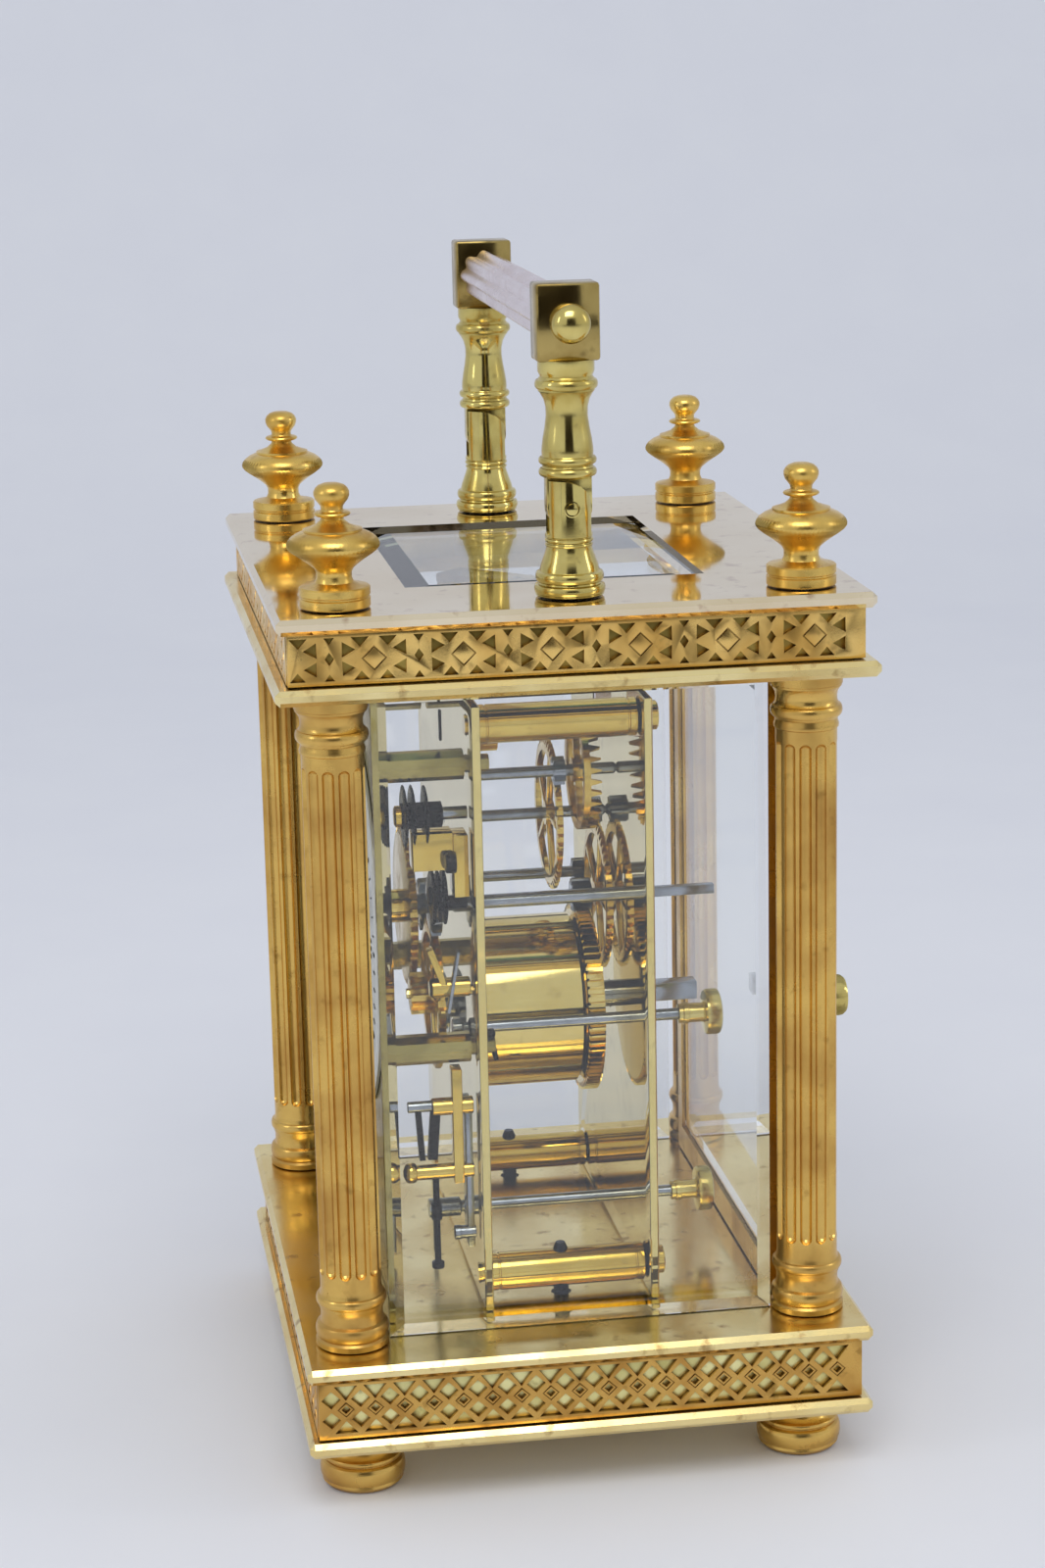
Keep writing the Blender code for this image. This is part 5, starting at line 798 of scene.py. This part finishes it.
disc_set = [toothed("disc", teeth, radius - 0.5, radius, middle - 0.2, middle + 0.2)
            for middle, radius, teeth in ((23.0, 4.6, 30), (21.8, 4.6, 24), (19.9, 4.4, 36))]
disc_set.append(toothed("leaves", 8, 1.3, 1.95, 17.3, 23.6))
dress(stand(joined(disc_set, "alarm_discs"), 26, 99.0), black, "case")
lain("alarm_disc_arbor", steel, 26, 99.1, (0.9, 13.7), (0.95, 13.8), (0.95, 17.4), (0.8, 17.5))
lain("alarm_disc_nut", turned_brass, 26, 99.0, (1.5, 23.4), (1.6, 23.5), (1.6, 24.3), (1.2, 24.5))
filed("alarm_cock", turned_brass, (4.5, 6.0, 5.6), (26, -19.1, 93.8))
filed("alarm_cock_foot", turned_brass, (5.0, 2.2, 9.4), (26, -15.0, 91.5))
lain("cock_screw", black, 29.2, 92.3, (1.3, 15.9), (1.5, 16.0), (1.5, 17.3), (1.3, 17.5))
stack = [toothed("disc", teeth, radius - 0.6, radius, low_end, low_end + 0.5)
         for low_end, radius, teeth in ((17.2, 4.3, 28), (18.0, 3.9, 18), (18.9, 4.2, 32))]
stack.append(turned("core", [(1.5, 17.0), (1.5, 19.6), (1.2, 19.8)], facets=32))
dress(stand(joined(stack, "let_off_wheels"), 26, 86.6), black, "case")
lain("let_off_pinion", black, 26, 85.5, (0.9, 14.0), (1.05, 14.2), (1.05, 17.0), (0.9, 17.1))
filed("detent", turned_brass, (2.6, 1.0, 7.2), (26, -18.6, 75.2), 0.35)
filed("detent_spring", steel, (1.6, 0.5, 9.5), (28, -16.6, 73.8), -0.18)
lain("detent_stud", turned_brass, 26, 72.4, (1.3, 13.9), (1.5, 14.0), (1.5, 19.6), (1.1, 20.0))
lain("hammer_arbor", steel, 26, 54.0, (0.7, 20.0), (0.85, 20.1), (0.85, 23.7), (0.7, 23.8))
lain("hammer_hub", turned_brass, 26, 53.8, (1.2, 13.9), (1.35, 14.0), (1.35, 20.0), (1.1, 20.2))
filed("hammer_bar", turned_brass, (3.0, 1.5, 17.9), (26, -16.35, 50.9))
filed("click_spring", steel, (4.0, 1.0, 23.3), (24.5, -14.6, 42.9))
filed("black_blade_front", black, (1.4, 0.9, 8.0), (26, -22.0, 49.6), 0.06)
filed("black_blade_back", black, (1.4, 1.5, 8.0), (26, -19.9, 49.6), -0.08)
lain("hammer_stud", turned_brass, 26, 43.6, (1.1, 14.0), (1.2, 14.1), (1.2, 22.6), *bead(1.2, 22.7, 24.4, 0.4, 6),
     (0.5, 24.7))
stem = turned("hammer_stem", [(0.9, 28.2), (0.95, 28.3), (0.95, 29.1), (0.5, 29.2), (0.5, 35.9), (0.8, 36.0),
                              (0.8, 38.5), (0.5, 38.6), (0.5, 42.4)], facets=24)
dress(settle(stem, (26, -19.8, 0)), black, "case")
lain("bar_screw", steel, 26, 33.6, (0.9, 13.9), (1.0, 14.0), (1.0, 16.2), (1.1, 16.3), (1.1, 17.1), (0.9, 17.2))
filed("leaf_spring", black, (0.9, 0.4, 4.6), (26, -17.3, 112.4))
dress(stand(toothed("let_off_cam", 14, 1.4, 1.9, 8.2, 11.4), 20.5, 108.8), wheel_brass, "case")
pin = turned("taper_pin", [(0.35, -2.6), (0.6, 1.0), *bead(0.6, 1.1, 2.4, 0.4, 6), (0.3, 2.5)], facets=24)
dress(settle(pin, (25, -10.6, 62.7), (0.25, 0, 0)), black, "case")


# BACK ARBORS. The hand-setting arbor with its square, and two arbors with knurled brass knobs, for the
# alarm and for stopping the clock, that are turned from behind.
setting_steel = stand(joined([
    turned("rod", [(1.05, -13.6), (1.05, 18.3)], facets=32),
    pinion("leaves", 14, 4.375, 16.5, 18.3, geared(36, minute_phase, 14, radians(74.4))),
    eased(block("square", (1.45, 1.45, 12.4), (0, 0, -19.6)), 0.1)], "setting_arbor_steel"), 13.944, 81.843)
dress(setting_steel, steel, "setting", "setting_arbor", slot="steel")
for name, body, across, height, front in (("alarm", "alarm", 17.0, 63.0, 15.5), ("stop", "stop", 9.5, 31.5, 19.0)):
    parts = [turned("rod", [(0.9, -20.0), (0.9, 13.9), (1.5, 14.2), (1.5, front)], facets=32)]
    if name == "stop":
        blade = block("blade", (1.8, 8.0, 0.6), (0, -3.2, 18.1))
        parts.append(eased(blade, 0.15))
    shaft = stand(joined(parts, f"{name}_arbor_steel"), across, height)
    dress(shaft, steel, body, f"{name}_arbor", slot="steel")
    grip_knob = turned(f"{name}_knob", [(3.0, -25.9), (3.4, -25.7), (3.5, -25.4), (3.5, -23.9), (3.3, -23.6),
                                        (1.7, -23.5), (1.5, -23.3), (1.5, -21.0), (1.7, -20.9), (1.7, -20.2),
                                        (1.5, -20.1), (1.5, -19.5), (1.1, -19.4)], facets=80)
    for vertex in grip_knob.data.vertices:
        far = hypot(vertex.co.x, vertex.co.y) / MM
        turn = round(40 * acos(max(-1, min(1, vertex.co.x / MM / far))) / pi)
        if far > 3.35 and turn % 2:
            vertex.co.x *= 0.94
            vertex.co.y *= 0.94
    stand(grip_knob, across, height)
    dress(grip_knob, bright, body, slot="polished_brass")


# DIAL. A thin brass plate on four turned feet, a convex white enamel disc with painted numerals, and two
# blued hands.
dial_brass = metal("old_dial_plate_brass", "#b5a662", "#96874a", "#5c4a24", (0.10, 0.24), cloud=8, relief=0.002)
reskin("dial_plate", dial_brass)
enamel = bpy.data.materials.new("dial_enamel")
enamel.use_nodes = True
tree = enamel.node_tree
coat = tree.nodes["Principled BSDF"]
place = add(tree, "ShaderNodeTexCoord").outputs["Object"]
mottle = add(tree, "ShaderNodeTexNoise", {"Vector": place, "Scale": 1 / (9 * MM), "Detail": 4.0})
white = add(tree, "ShaderNodeMix", {0: mottle.outputs[0], 6: linear("#f7f5ee"), 7: linear("#ece8dc")},
            data_type="RGBA")
tree.links.new(white.outputs[2], coat.inputs["Base Color"])
wave = add(tree, "ShaderNodeMapRange", {0: mottle.outputs[0], 3: 0.08, 4: 0.2})
tree.links.new(wave.outputs[0], coat.inputs["Roughness"])
skin_bump = add(tree, "ShaderNodeBump", {"Height": mottle.outputs[0], "Distance": 0.03 * MM})
tree.links.new(skin_bump.outputs[0], coat.inputs["Normal"])
coat.inputs["Coat Weight"].default_value = 0.5
disc = turned("dial_disc", [(30.0, 27.3), (30.0, 27.7), (29.6, 27.95), (28.5, 28.1), (20.0, 28.15), (3.2, 28.2),
                            (3.1, 28.15)], facets=128)
begin()
bpy.ops.mesh.primitive_cylinder_add(vertices=48, radius=3.1 * MM, depth=80 * MM)
carve(disc, bpy.context.object)
stand(disc, 0, 78.2)
dress(disc, enamel, "case", "dial", slot="enamel")
reskin("hour_hand", blued)
reskin("minute_hand", blued)
printed = metal("black_printing", "#1a1a1e", "#101014", "#2a2622", (0.4, 0.6), cloud=3)
marks = []
for hour, numeral in enumerate(("XII", "I", "II", "III", "IIII", "V", "VI", "VII", "VIII", "IX", "X", "XI")):
    begin()
    bpy.ops.object.text_add()
    letters = bpy.context.object
    letters.data.body = numeral
    letters.data.align_x, letters.data.align_y = "CENTER", "CENTER"
    letters.data.size = 6.6 * MM
    letters.data.extrude = 0.04 * MM
    bpy.ops.object.convert(target="MESH")
    letters.scale.x = 0.72
    settle(bpy.context.object, (0, 21.5, 0))
    marks.append(settle(bpy.context.object, turn=(0, 0, -pi / 6 * hour)))
for minute_mark in range(60):
    tick = block("tick", (0.22 if minute_mark % 5 else 0.5, 1.3, 0.08), (0, 27.0, 0))
    marks.append(settle(tick, turn=(0, 0, -pi / 30 * minute_mark)))
numerals = settle(joined(marks, "dial_numerals"), (0, -28.16, 78.2), (pi / 2, 0, 0))
dress(numerals, printed, "case")


# ESCAPEMENT. A silvered platform on the plates' top edges, with the escape wheel, lever, balance and the
# cock that holds the balance.
reskin("platform", silvered)
reskin("escape_wheel", wheel_brass)
reskin("pallet_lever", steel)
reskin("balance", wheel_brass)
reskin("balance_cock", turned_brass)


# STUDIO. A pale paper sweep under and behind the clock in even light from all round, a soft lamp
# overhead, and behind the camera a black flag that only the polished brass sees.
def plain(name, pale, deep, rough, size):
    """A matt surface that clouds between two colours, for the paper and the flag."""
    look = bpy.data.materials.new(name)
    look.use_nodes = True
    tree = look.node_tree
    skin = tree.nodes["Principled BSDF"]
    place = add(tree, "ShaderNodeTexCoord").outputs["Object"]
    fibre = add(tree, "ShaderNodeTexNoise", {"Vector": place, "Scale": 1 / (size * MM), "Detail": 4.0})
    colour = add(tree, "ShaderNodeMix", {0: fibre.outputs[0], 6: linear(pale), 7: linear(deep)},
                 data_type="RGBA")
    tree.links.new(colour.outputs[2], skin.inputs["Base Color"])
    bump = add(tree, "ShaderNodeBump", {"Height": fibre.outputs[0], "Distance": 0.2 * MM, "Strength": 0.3})
    tree.links.new(bump.outputs[0], skin.inputs["Normal"])
    skin.inputs["Roughness"].default_value = rough
    skin.inputs["Specular IOR Level"].default_value = 0.1
    return look


begin()
bpy.ops.mesh.primitive_plane_add(size=6)
sweep = bpy.context.object
sweep.name = "paper_sweep"
settle(sweep, (2400, 0, 0))
bpy.context.tool_settings.mesh_select_mode = (False, True, False)
bpy.ops.object.mode_set(mode="EDIT")
bpy.ops.mesh.select_all(action="DESELECT")
bpy.ops.object.mode_set(mode="OBJECT")
for edge in sweep.data.edges:
    edge.select = all(sweep.data.vertices[i].co.x < -0.5 for i in edge.vertices)
bpy.ops.object.mode_set(mode="EDIT")
for step in range(12):
    slope = pi / 2 * (step + 0.5) / 12
    bpy.ops.mesh.extrude_region_move(TRANSFORM_OT_translate={"value": (-0.065 * cos(slope), 0, 0.065 * sin(slope))})
bpy.ops.mesh.extrude_region_move(TRANSFORM_OT_translate={"value": (0, 0, 1.4)})
bpy.ops.object.mode_set(mode="OBJECT")
bpy.ops.object.shade_smooth()
sweep.data.materials.append(plain("matt_paper", "#eeeff4", "#e9eaf1", 0.7, 40))

flag_look = plain("black_flag", "#3a3128", "#2c2620", 0.9, 200)
for name, at, turn in (("flag_low", (2230, 0, 1), 0), ("flag_high", (3430, 0, 500), pi / 2)):
    begin()
    bpy.ops.mesh.primitive_plane_add(size=2.4)
    flag = bpy.context.object
    flag.name = name
    settle(flag, at, (0, turn, 0))
    flag.data.materials.append(flag_look)
    flag.visible_camera = flag.visible_diffuse = flag.visible_shadow = flag.visible_transmission = False

world = bpy.data.worlds.new("room")
bpy.context.scene.world = world
world.use_nodes = True
world.node_tree.nodes["Background"].inputs["Color"].default_value = linear("#e0e4ea")
world.node_tree.nodes["Background"].inputs["Strength"].default_value = 0.84


def lamp(name, at, size, power, colour, towards=(0, 0, 0.08)):
    light = bpy.data.lights.new(name, "AREA")
    light.shape = "RECTANGLE"
    light.size, light.size_y = size
    light.energy = power
    light.color = linear(colour)[:3]
    holder = bpy.data.objects.new(name, light)
    bpy.context.scene.collection.objects.link(holder)
    holder.location = at
    holder.rotation_euler = (Vector(towards) - Vector(at)).to_track_quat("-Z", "Y").to_euler()


lamp("window", (0.52, -0.1, 0.80), (0.5, 0.42), 2.4, "#fffdf8")
lamp("left", (0.3, -0.9, 0.5), (0.12, 0.4), 0.5, "#ffffff")
lamp("right", (0.25, 0.95, 0.5), (0.12, 0.4), 0.5, "#ffffff")

eye = bpy.data.cameras.new("camera")
eye.lens = 76.8
eye.sensor_width = 36
eye.clip_start = 0.01
camera = bpy.data.objects.new("camera", eye)
bpy.context.scene.collection.objects.link(camera)
right = Vector((0.15496397, 0.98769777, -0.02095927))
up = Vector((-0.22779622, 0.05636766, 0.97207591))
back = Vector((0.96129863, -0.1458623, 0.23372877))
camera.matrix_world = Matrix.Translation((0.50039, -0.07716, 0.21800)) @ Matrix(
    (right, up, back)).transposed().to_4x4()
bpy.context.scene.camera = camera
bpy.context.scene.view_settings.view_transform = "Standard"
